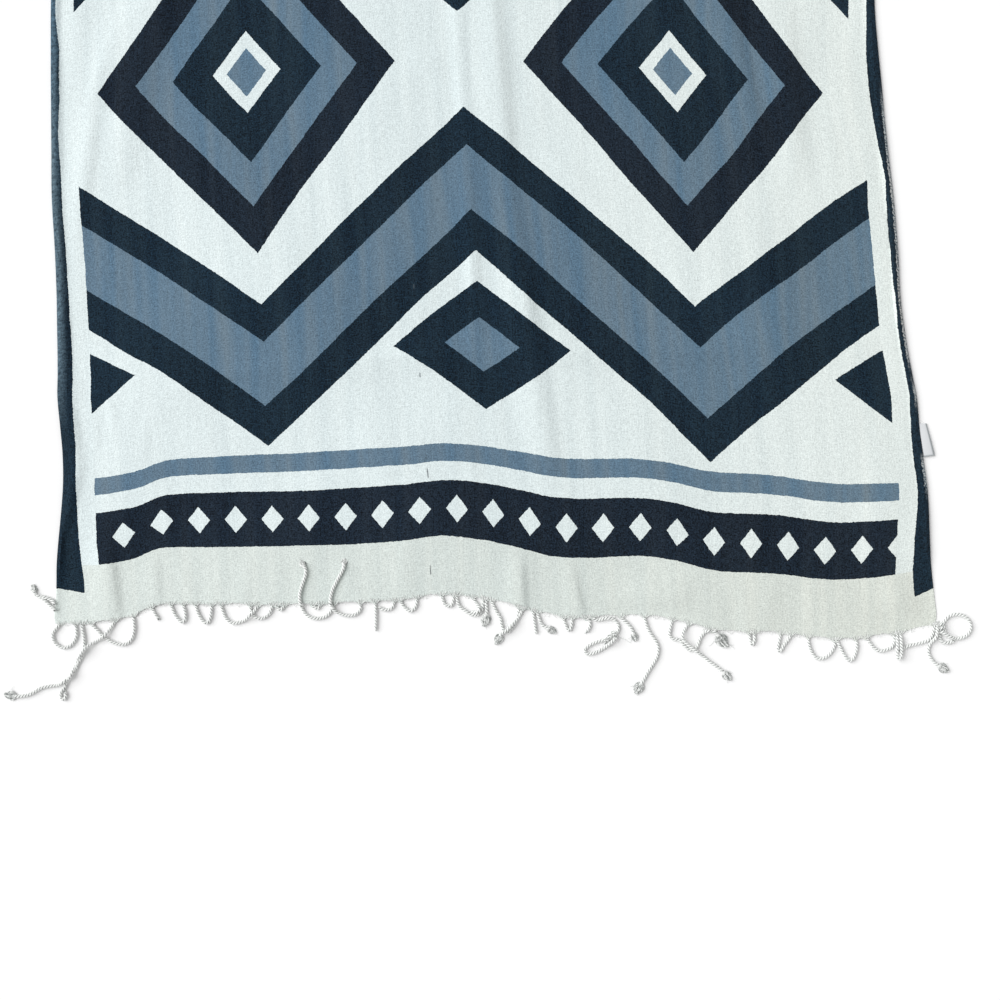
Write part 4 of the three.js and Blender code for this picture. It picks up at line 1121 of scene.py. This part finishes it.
@dataclass(frozen=True)
class TwistTree:
    """A Geometry Nodes tree that sweeps twisted plies along the edges of a wire mesh."""

    name: str
    plies: int

    def build(self) -> bpy.types.NodeTree:
        """Build the tree, with named inputs for its sizes."""
        tree = bpy.data.node_groups.new(self.name, "GeometryNodeTree")
        sizes = ("Step", "Ply Radius", "Ply Offset", "Twist Length", "Unevenness")
        tree.interface.new_socket("Geometry", in_out="INPUT", socket_type="NodeSocketGeometry")
        for title in sizes:
            tree.interface.new_socket(title, in_out="INPUT", socket_type="NodeSocketFloat")
        for title in ("Sides", "Seed"):
            tree.interface.new_socket(title, in_out="INPUT", socket_type="NodeSocketInt")
        tree.interface.new_socket("Material", in_out="INPUT", socket_type="NodeSocketMaterial")
        tree.interface.new_socket("Geometry", in_out="OUTPUT", socket_type="NodeSocketGeometry")
        given = add_node(tree, "NodeGroupInput").outputs
        wire = add_node(tree, "GeometryNodeMeshToCurve", {"Mesh": given["Geometry"]})
        path = add_node(tree, "GeometryNodeResampleCurve",
                        {"Curve": wire.outputs["Curve"], "Length": given["Step"]}, mode="LENGTH")
        marked = add_node(tree, "GeometryNodeStoreNamedAttribute", {
            "Geometry": path.outputs["Curve"], "Name": "axis",
            "Value": add_node(tree, "GeometryNodeInputPosition").outputs[0]},
            data_type="FLOAT_VECTOR", domain="POINT")
        thick = add_node(tree, "GeometryNodeInputNamedAttribute", {"Name": "thick"}, data_type="FLOAT")
        swept = [self._ply(tree, given, marked.outputs["Geometry"], thick.outputs["Attribute"], ply)
                 for ply in range(self.plies)]
        joined = add_node(tree, "GeometryNodeJoinGeometry")
        for mesh in swept:
            tree.links.new(mesh, joined.inputs["Geometry"])
        # Crown: the distance from the cord's axis over its full reach, times the strand's tone; the cord
        # material paints shade where it is low
        axis = add_node(tree, "GeometryNodeInputNamedAttribute", {"Name": "axis"}, data_type="FLOAT_VECTOR")
        away = add_node(tree, "ShaderNodeVectorMath", {
            0: add_node(tree, "GeometryNodeInputPosition").outputs[0], 1: axis.outputs["Attribute"]},
            operation="DISTANCE")
        reach = add_node(tree, "ShaderNodeMath", {0: given["Ply Radius"], 1: given["Ply Offset"]},
                         operation="ADD")
        full = add_node(tree, "ShaderNodeMath", {0: reach.outputs[0], 1: thick.outputs["Attribute"]},
                        operation="MULTIPLY")
        out = add_node(tree, "ShaderNodeMath", {0: away.outputs["Value"], 1: full.outputs[0]},
                       operation="DIVIDE")
        tone = add_node(tree, "GeometryNodeInputNamedAttribute", {"Name": "tone"}, data_type="FLOAT")
        crown = add_node(tree, "ShaderNodeMath", {0: out.outputs[0], 1: tone.outputs["Attribute"]},
                         operation="MULTIPLY")
        stored = add_node(tree, "GeometryNodeStoreNamedAttribute", {
            "Geometry": joined.outputs["Geometry"], "Name": "crown", "Value": crown.outputs[0]},
            data_type="FLOAT", domain="POINT")
        cleared = stored.outputs["Geometry"]
        for title in ("axis", "thick", "tone"):
            cleared = add_node(tree, "GeometryNodeRemoveAttribute",
                               {"Geometry": cleared, "Name": title}).outputs["Geometry"]
        smooth = add_node(tree, "GeometryNodeSetShadeSmooth", {"Geometry": cleared})
        real = add_node(tree, "GeometryNodeRealizeInstances", {"Geometry": smooth.outputs["Geometry"]})
        dressed = add_node(tree, "GeometryNodeSetMaterial",
                           {"Geometry": real.outputs["Geometry"], "Material": given["Material"]})
        add_node(tree, "NodeGroupOutput", {"Geometry": dressed.outputs["Geometry"]})
        return tree

    def _ply(self, tree: bpy.types.NodeTree, given: bpy.types.NodeOutputs, path: bpy.types.NodeSocket,
             thick: bpy.types.NodeSocket, ply: int) -> bpy.types.NodeSocket:
        """Wind one ply round the path and sweep it."""
        run = add_node(tree, "GeometryNodeSplineParameter").outputs["Length"]
        turns = add_node(tree, "ShaderNodeMath", {0: run, 1: given["Twist Length"]}, operation="DIVIDE")
        # A negative turn gives the cords their S twist
        angle = add_node(tree, "ShaderNodeMath", {
            0: turns.outputs[0], 1: -math.tau, 2: math.tau * ply / self.plies},
            operation="MULTIPLY_ADD").outputs[0]
        normal = add_node(tree, "GeometryNodeInputNormal").outputs["Normal"]
        tangent = add_node(tree, "GeometryNodeInputTangent").outputs["Tangent"]
        side = add_node(tree, "ShaderNodeVectorMath", {0: tangent, 1: normal}, operation="CROSS_PRODUCT")
        parts = []
        for direction, operation in ((normal, "COSINE"), (side.outputs["Vector"], "SINE")):
            share = add_node(tree, "ShaderNodeMath", {0: angle}, operation=operation)
            parts.append(add_node(tree, "ShaderNodeVectorMath", {0: direction, "Scale": share.outputs[0]},
                                  operation="SCALE").outputs["Vector"])
        circle = add_node(tree, "ShaderNodeVectorMath", {0: parts[0], 1: parts[1]}, operation="ADD")
        offset = add_node(tree, "ShaderNodeMath", {0: given["Ply Offset"], 1: thick}, operation="MULTIPLY")
        shift = add_node(tree, "ShaderNodeVectorMath",
                         {0: circle.outputs["Vector"], "Scale": offset.outputs[0]}, operation="SCALE")
        wound = add_node(tree, "GeometryNodeSetPosition",
                         {"Geometry": path, "Offset": shift.outputs["Vector"]})
        ring = add_node(tree, "GeometryNodeCurvePrimitiveCircle",
                        {"Resolution": given["Sides"], "Radius": given["Ply Radius"]})
        low = add_node(tree, "ShaderNodeMath", {0: 1.0, 1: given["Unevenness"]}, operation="SUBTRACT")
        high = add_node(tree, "ShaderNodeMath", {0: 1.0, 1: given["Unevenness"]}, operation="ADD")
        seed = add_node(tree, "ShaderNodeMath", {0: given["Seed"], 1: float(ply)}, operation="ADD")
        lumps = add_node(tree, "FunctionNodeRandomValue",
                         {2: low.outputs[0], 3: high.outputs[0], "Seed": seed.outputs[0]}, data_type="FLOAT")
        scale = add_node(tree, "ShaderNodeMath", {0: lumps.outputs[1], 1: thick}, operation="MULTIPLY")
        return add_node(tree, "GeometryNodeCurveToMesh", {
            "Curve": wound.outputs["Geometry"], "Profile Curve": ring.outputs["Curve"],
            "Scale": scale.outputs[0], "Fill Caps": True}).outputs["Mesh"]


def sweep(name: str, strands: Sequence[Strand], tree: bpy.types.NodeTree,
          values: Mapping[str, Any]) -> bpy.types.Object:
    """Sweep strands into a plain mesh with a Geometry Nodes tree.

    Args:
        name: The object's name.
        strands: The middle lines, in millimetres.
        tree: The tree to sweep with.
        values: The tree's inputs by name, sizes in metres.

    Returns:
        The object, with a plain mesh and no modifier.
    """
    counts = [len(strand.points) for strand in strands]
    starts = np.concatenate([[0], np.cumsum(counts)[:-1]])
    edges = [(start + step, start + step + 1)
             for start, count in zip(starts, counts) for step in range(count - 1)]
    mesh = bpy.data.meshes.new(name)
    mesh.from_pydata((np.concatenate([s.points for s in strands]) * MM).tolist(), edges, [])
    for title in ("thick", "tone"):
        shares = np.concatenate([
            np.broadcast_to(getattr(strand, title), len(strand.points)) for strand in strands])
        mesh.attributes.new(title, "FLOAT", "POINT").data.foreach_set("value", shares.astype(np.float32))
    piece = show(name, mesh)
    modifier = piece.modifiers.new("sweep", "NODES")
    modifier.node_group = tree
    for item in tree.interface.items_tree:
        if item.item_type == "SOCKET" and item.in_out == "INPUT" and item.name in values:
            modifier[item.identifier] = values[item.name]
    depsgraph = bpy.context.evaluated_depsgraph_get()
    plain = bpy.data.meshes.new_from_object(piece.evaluated_get(depsgraph), preserve_all_data_layers=True,
                                            depsgraph=depsgraph)
    piece.modifiers.clear()
    piece.data = plain
    plain.name = name
    return piece


def join(pieces: Sequence[bpy.types.Object], name: str) -> bpy.types.Object:
    """Join pieces into the first one, under a new name."""
    with bpy.context.temp_override(active_object=pieces[0], selected_editable_objects=list(pieces)):
        bpy.ops.object.join()
    pieces[0].name = name
    pieces[0].data.name = name
    return pieces[0]


def smooth_line(points: np.ndarray, parts: int = 8) -> np.ndarray:
    """Draw a smooth line through points.

    Args:
        points: Two or more points, one a row.
        parts: How many steps each stretch is drawn in.

    Returns:
        The line's points, with the given ones among them.
    """
    padded = np.concatenate([2 * points[:1] - points[1:2], points, 2 * points[-1:] - points[-2:-1]])
    share = np.linspace(0, 1, parts, endpoint=False)[:, None]
    stretches = []
    for before, start, stop, after in zip(padded, padded[1:], padded[2:], padded[3:]):
        stretches.append(0.5 * (2 * start + (stop - before) * share
                                + (2 * before - 5 * start + 4 * stop - after) * share ** 2
                                + (3 * start - before - 3 * stop + after) * share ** 3))
    return np.concatenate([*stretches, points[-1:]])


@dataclass(frozen=True)
class HemFringe:
    """The fringe of one end: cords of the panel's own warp ends, with its loose threads. In millimetres."""

    drape: Drape
    finish: bpy.types.Material
    node: str
    cords: Sequence[Cord]
    turned: bool
    seed: int
    ply_radius: float = 0.69
    ply_offset: float = 0.57
    twist: float = 4.1
    over: float = 1.9
    cloth: float = 0.5
    knob_length: float = 8.6
    knob_half: float = 3.0

    def build(self) -> bpy.types.Object:
        """Build and dress the fringe."""
        rng = np.random.default_rng(self.seed)
        cords = [self._cord_strand(cord) for cord in self.cords]
        threads: list[Strand] = []
        for cord, strand in zip(self.cords, cords):
            for root in cord.roots(self.drape):
                threads += self._gather(root, rng)
            if cord.end is End.TUFT:
                threads += self._tuft(strand.points, cord.bulk, rng)
            elif cord.end is End.PLAIN:
                threads += self._frayed_cut(strand.points, rng)
        threads += self._thread_ends(rng)
        if not self.turned:
            threads += [self._laid(np.array(line), 0.9) for line in STRAY_THREADS]
            cords += [self._winding(*winding) for winding in WINDINGS]
        piece = self._sweep_all(cords, threads)
        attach(piece, "root")
        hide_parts(self.node)
        return piece

    def _sweep_all(self, cords: Sequence[Strand], threads: Sequence[Strand]) -> bpy.types.Object:
        """Sweep the cords with two plies and the threads with one, and join them."""
        about = np.array([-1, -1, 1]) if self.turned else np.ones(3)
        shift = np.array([0, -self.drape.length / 2, 0])
        cords, threads = ([Strand((s.points + shift) * about, s.thick, s.tone) for s in group]
                          for group in (cords, threads))
        swept = sweep(f"{self.node}_cords", cords, TwistTree("two_ply_cord", 2).build(), {
            "Step": 0.6 * MM, "Ply Radius": self.ply_radius * MM, "Ply Offset": self.ply_offset * MM,
            "Twist Length": self.twist * MM, "Unevenness": 0.06, "Sides": 6, "Seed": self.seed,
            "Material": self.finish})
        loose = sweep(f"{self.node}_threads", threads, TwistTree("single_thread", 1).build(), {
            "Step": 0.8 * MM, "Ply Radius": 0.2 * MM, "Ply Offset": 0.02 * MM, "Twist Length": 3.0 * MM,
            "Unevenness": 0.2, "Sides": 4, "Seed": self.seed + 1, "Material": self.finish})
        return join([swept, loose], f"{self.node}_twisted_cords")

    def _ground(self, x: np.ndarray, y: np.ndarray) -> np.ndarray:
        """Find the height of what lies under places: the cloth's face, or the surface."""
        real_x, real_y = (-x, self.drape.length - y) if self.turned else (x, y)
        inside = smoothstep(y - self.drape.hem_rise(x), -1.3, 0.9)
        for gap in (real_x - read_table(OUTLINE, 1, real_y), read_table(OUTLINE, 2, real_y) - real_x):
            inside = inside * smoothstep(gap, -2.5, 0.5)
        return inside * (self.cloth + 0.05 + self.drape.relief(real_x, real_y))

    def _laid(self, line: np.ndarray, thick: float, tone: float = 1.0) -> Strand:
        """Lay a thread on what lies under it, through places across and above the hem's straight line."""
        points = smooth_line(line, 5)
        height = self._ground(points[:, 0], points[:, 1]) + 0.26 * thick
        return Strand(np.column_stack([points, height]), thick, tone)

    def _cord_strand(self, cord: Cord) -> Strand:
        """Draw a cord through its places, thin where it grows out of the hem, and raised where it crosses."""
        places = np.array(cord.places, dtype=float)
        roots = cord.roots(self.drape)
        joined = [places[0, 0] in roots, cord.end is End.HEM]
        for end, grows in zip((0, -1), joined):
            if grows:
                places[end, 1] = self.drape.hem_rise(places[end, 0]) + 0.3
        rises = np.zeros(len(places))
        rises[list(cord.raised)] = self.over
        x, y, rise = smooth_line(np.column_stack([places, rises])).T
        gone = np.concatenate([[0], np.cumsum(np.hypot(np.diff(x), np.diff(y)))])
        thick = np.ones(len(x))
        for grows, away in zip(joined, (gone, gone[-1] - gone)):
            if grows:
                thick = np.minimum(thick, 0.4 + 0.6 * smoothstep(away, 0, 2.2))
        reach = (self.ply_radius + self.ply_offset) * 1.07 * thick
        height = self._ground(x, y) + reach + 0.04 + np.maximum(rise, 0)
        return Strand(np.column_stack([x, y, height]), thick)

    def _winding(self, start: tuple[float, float], stop: tuple[float, float], turns: int) -> Strand:
        """Wind a cord round others that run from one place to another."""
        share = np.linspace(0, 1, 16 * turns)
        along = np.array(stop) - np.array(start)
        side = np.array([-along[1], along[0]]) / np.hypot(*along)
        swing = np.cos(share * turns * math.tau)
        places = np.array(start) + share[:, None] * along + 1.5 * swing[:, None] * side
        height = 2.3 + 1.4 * np.sin(share * turns * math.tau)
        return Strand(np.column_stack([places, height]), 0.7)

    def _gather(self, root: float, rng: np.random.Generator) -> list[Strand]:
        """Draw the warp threads that run together into a cord's root, with darker threads as painted shade in
        the gaps that they leave.
        """
        threads = []
        at_root = float(self.drape.hem_rise(root))
        for number, offset in enumerate(np.linspace(-3.0, 3.0, 7) + rng.uniform(-0.3, 0.3, 7)):
            inside = float(self.drape.hem_rise(root + offset)) + rng.uniform(1.2, 3.4)
            line = np.array([
                (root + offset * 1.05, inside), (root + offset * 0.9, (inside + at_root) / 2 + 0.5),
                (root + offset * 0.42, at_root + 0.2), (root + offset * 0.14, at_root - 0.9)])
            # Every other thread is thinner and darker (tone 0.8): painted shade in the gaps between the
            # gathered threads
            share, tone = (0.7, 0.8) if number % 2 else (1.1, 1.0)
            threads.append(self._laid(line, rng.uniform(0.7, 1.0) * share, tone))
        return threads

    def _thread_ends(self, rng: np.random.Generator) -> list[Strand]:
        """Draw the short ends of warp threads that were left out of the cords."""
        threads = []
        across = -286.0
        while across < 284:
            across += rng.uniform(1.0, 3.4)
            start = float(self.drape.hem_rise(across)) + 2.4
            lean, length = rng.normal(0, 0.3), rng.uniform(1.6, 3.6)
            line = [(across, start)]
            for _ in range(2):
                x, y = line[-1]
                line.append((x + math.sin(lean) * length / 2, y - math.cos(lean) * length / 2))
                lean += rng.normal(0, 0.4)
            threads.append(self._laid(np.array(line), rng.uniform(0.5, 0.9)))
        return threads

    def _frayed_cut(self, cord: np.ndarray, rng: np.random.Generator) -> list[Strand]:
        """Draw the few fibres that stand out of a plain cut end."""
        return [self._hair(cord, rng.normal(0, 0.5), rng.uniform(0.8, 1.9), 0.7, rng) for _ in range(5)]

    def _tuft(self, cord: np.ndarray, bulk: float, rng: np.random.Generator) -> list[Strand]:
        """Draw a frayed end: a rounded knob of untwisted yarn, bound where it starts, with a few hairs.

        Args:
            cord: The cord's middle line.
            bulk: The knob's size as a share of the usual one.
            rng: The source of random sizes.

        Returns:
            The tuft's strands.
        """
        strands = []
        point = cord[-1]
        forward = (point - cord[-4])[:2]
        forward /= np.hypot(*forward)
        sideways = np.array([-forward[1], forward[0]])
        share = np.linspace(0, 1, 7)
        belly = np.interp(share, (0, 0.2, 0.55, 0.85, 1), (0.35, 0.75, 1, 1, 0.82))
        for aside in np.linspace(-1, 1, 15 + int(3 * bulk)):
            length = self.knob_length * bulk ** 0.6 * (1 - 0.4 * aside ** 2) * rng.uniform(0.88, 1)
            rise = rng.uniform(0, 1.0) * math.sqrt(1.05 - aside ** 2) * 1.8 * min(bulk, 1.2)
            wave = 0.25 * np.sin(share * rng.uniform(4, 8) + rng.uniform(0, 6))
            away = self.knob_half * bulk ** 0.6 * aside * belly + wave
            places = point[:2] + forward * (length * share - 1.3)[:, None] + sideways * away[:, None]
            height = point[2] * (1 - share) ** 1.5 + (0.45 + rise) * np.minimum(share * 2, 1)
            height = np.maximum(height, 0.45)
            strands.append(Strand(smooth_line(np.column_stack([places, height]), 2), rng.uniform(1.6, 2.2),
                                  rng.uniform(0.66, 0.95)))
        strands += [self._hair(cord, rng.normal(0, 0.5), rng.uniform(5.5, 9) * bulk, 0.7, rng)
                    for _ in range(4)]
        turns = np.linspace(0, 2.4 * math.tau, 34)
        along = -1.4 + turns / math.tau * 0.55
        places = point[:2] + forward * along[:, None] + sideways * 1.15 * np.cos(turns)[:, None]
        height = np.maximum(point[2] + 1.05 * np.sin(turns), 0.3)
        strands.append(Strand(np.column_stack([places, height]), 1.3))
        return strands

    def _hair(self, cord: np.ndarray, lean: float, length: float, thick: float,
              rng: np.random.Generator) -> Strand:
        """Draw one fine fibre out of a cord's end, bending as it goes."""
        back = cord[-1] - cord[-4]
        heading = math.atan2(back[0], -back[1]) + lean
        points = [tuple(cord[-1])]
        bend, drop = rng.normal(0, 0.6), rng.uniform(0.3, 1.0)
        for _ in range(4):
            x, y, z = points[-1]
            points.append((x + math.sin(heading) * length / 4, y - math.cos(heading) * length / 4,
                           max(0.3, z - (z - drop) / 2)))
            heading += bend / 4
        return Strand(np.array(points), thick)


@dataclass(frozen=True)
class CareLabel:
    """The care label: a bare tape, folded, that stands out of the right selvedge. In millimetres."""

    finish: LabelTape
    from_hem: float = 101.2
    length: float = 21.7
    narrow: float = 5.0
    wide: float = 7.8
    skew: float = 1.0
    lift: float = 0.8
    tape: float = 0.35

    def build(self) -> bpy.types.Object:
        """Build and dress the label."""
        share = np.linspace(0, 1, 9)[:, None]
        low_in, low_out = self._edge(self.from_hem) + self.skew, self._edge(self.from_hem) + self.wide
        high_in = self._edge(self.from_hem + self.length)
        high_out = high_in + self.narrow
        # Across, the tape runs out on top, folds over, and comes back underneath
        fold = np.concatenate([np.linspace(0, 1, 7), [1.03, 1.03], np.linspace(1, 0, 7)])[None]
        high = 1.35 + 0.35 * np.sin(np.linspace(0.2, 2.6, 7))
        level = np.concatenate([high, [high[-1] - 0.25, 0.62], np.linspace(0.4, 0.5, 7)])[None]
        start, stop = low_in + (high_in - low_in) * share, low_out + (high_out - low_out) * share
        x = start + (stop - start) * fold
        height = self.from_hem + self.length * share + self.lift * fold * (1 - share)
        z = np.repeat(level, len(share), axis=0) * (0.8 + 0.2 * np.cos(np.pi * (share - 0.4)))
        points = np.stack([x, height - 900, np.maximum(z, 0.3)], axis=-1)[:, ::-1]
        width = np.concatenate([np.linspace(0, 1, 7), [1, 1], np.linspace(1, 0, 7)])[::-1]
        tape = np.stack([np.repeat(width[None], len(share), axis=0),
                         np.repeat(share * self.length * MM, fold.shape[1], axis=1)], axis=-1)
        grid = Grid(points[:, ::-1] * MM, {"tape": tape[:, ::-1]})
        mesh = sheet_mesh("care_label_tape", [grid], self.tape * MM)
        mesh.materials.append(self.finish.material())
        piece = show("care_label_tape", mesh)
        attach(piece, "root")
        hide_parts("care_label")
        return piece

    def _edge(self, height: float) -> float:
        """Tell where the right selvedge's outer side is."""
        return float(read_table(OUTLINE, 2, height)) - 0.2


@dataclass(frozen=True)
class Studio:
    """The plain pale floor, the soft light and the camera, in metres."""

    paper: PaperSweep
    floor_size: float = 9.0
    key_strength: float = 2.9
    key_angle: float = 56.0
    key_from: tuple[float, float, float] = (-0.80, 0.28, 0.78)
    sky: float = 0.5
    lens: float = 50.0
    sensor: float = 36.0
    framed: float = 0.652
    aim: tuple[float, float] = (0.0033, -0.8270)
    cloth_face: float = 0.0005

    def build(self) -> bpy.types.Object:
        """Build the floor, the lights and the camera."""
        half = self.floor_size / 2
        mesh = bpy.data.meshes.new("paper_floor")
        corners = [(-half, -half, 0), (half, -half, 0), (half, half, 0), (-half, half, 0)]
        mesh.from_pydata(corners, [], [(0, 1, 2, 3)])
        mesh.materials.append(self.paper.material())
        floor = show("paper_floor", mesh)
        self._light()
        self._camera()
        return floor

    def _light(self) -> None:
        """Add the soft key light from the left, and an even sky."""
        lamp = bpy.data.lights.new("key", "SUN")
        lamp.energy = self.key_strength
        lamp.angle = math.radians(self.key_angle)
        key = bpy.data.objects.new("key", lamp)
        key.rotation_euler = Vector(self.key_from).to_track_quat("Z", "Y").to_euler()
        bpy.context.scene.collection.objects.link(key)
        world = bpy.data.worlds.new("soft_white_room")
        world.use_nodes = True
        world.node_tree.nodes.clear()
        light = add_node(world.node_tree, "ShaderNodeBackground",
                         {"Color": (1, 1, 1, 1), "Strength": self.sky})
        add_node(world.node_tree, "ShaderNodeOutputWorld", {"Surface": light.outputs["Background"]})
        bpy.context.scene.world = world
        bpy.context.scene.view_settings.view_transform = "Standard"

    def _camera(self) -> None:
        """Add the camera, which looks straight down at the near end."""
        data = bpy.data.cameras.new("camera")
        data.lens, data.sensor_width = self.lens, self.sensor
        data.clip_start, data.clip_end = 0.01, 50
        camera = bpy.data.objects.new("camera", data)
        camera.location = (*self.aim, self.framed * self.lens / self.sensor + self.cloth_face)
        bpy.context.scene.collection.objects.link(camera)
        bpy.context.scene.camera = camera


def main() -> None:
    """Build the studio and the scarf's pieces in order."""
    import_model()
    floor = Studio(PaperSweep()).build()
    drape = Drape()
    cotton = TwistedCotton().material()
    far_cords = [cord.shortened(FAR_SHARE) for place, cord in enumerate(CORDS)
                 if place % LOST_EVERY != LOST_FIRST]
    roots = [[root for cord in cords for root in cord.roots(drape)] for cords in (CORDS, far_cords)]
    panel = Panel(drape, PrintedCotton(), *roots).build()
    near = HemFringe(drape, cotton, "fringe_near", CORDS, False, 31).build()
    far = HemFringe(drape, cotton, "fringe_far", far_cords, True, 47).build()
    label = CareLabel(LabelTape()).build()
    for piece in (panel, near, far, label):
        piece.data.calc_loop_triangles()
        LOG.info("%s: %d triangles", piece.name, len(piece.data.loop_triangles))


if __name__ == "__main__":
    logging.basicConfig(level=logging.INFO, format="%(name)s: %(message)s")
    main()
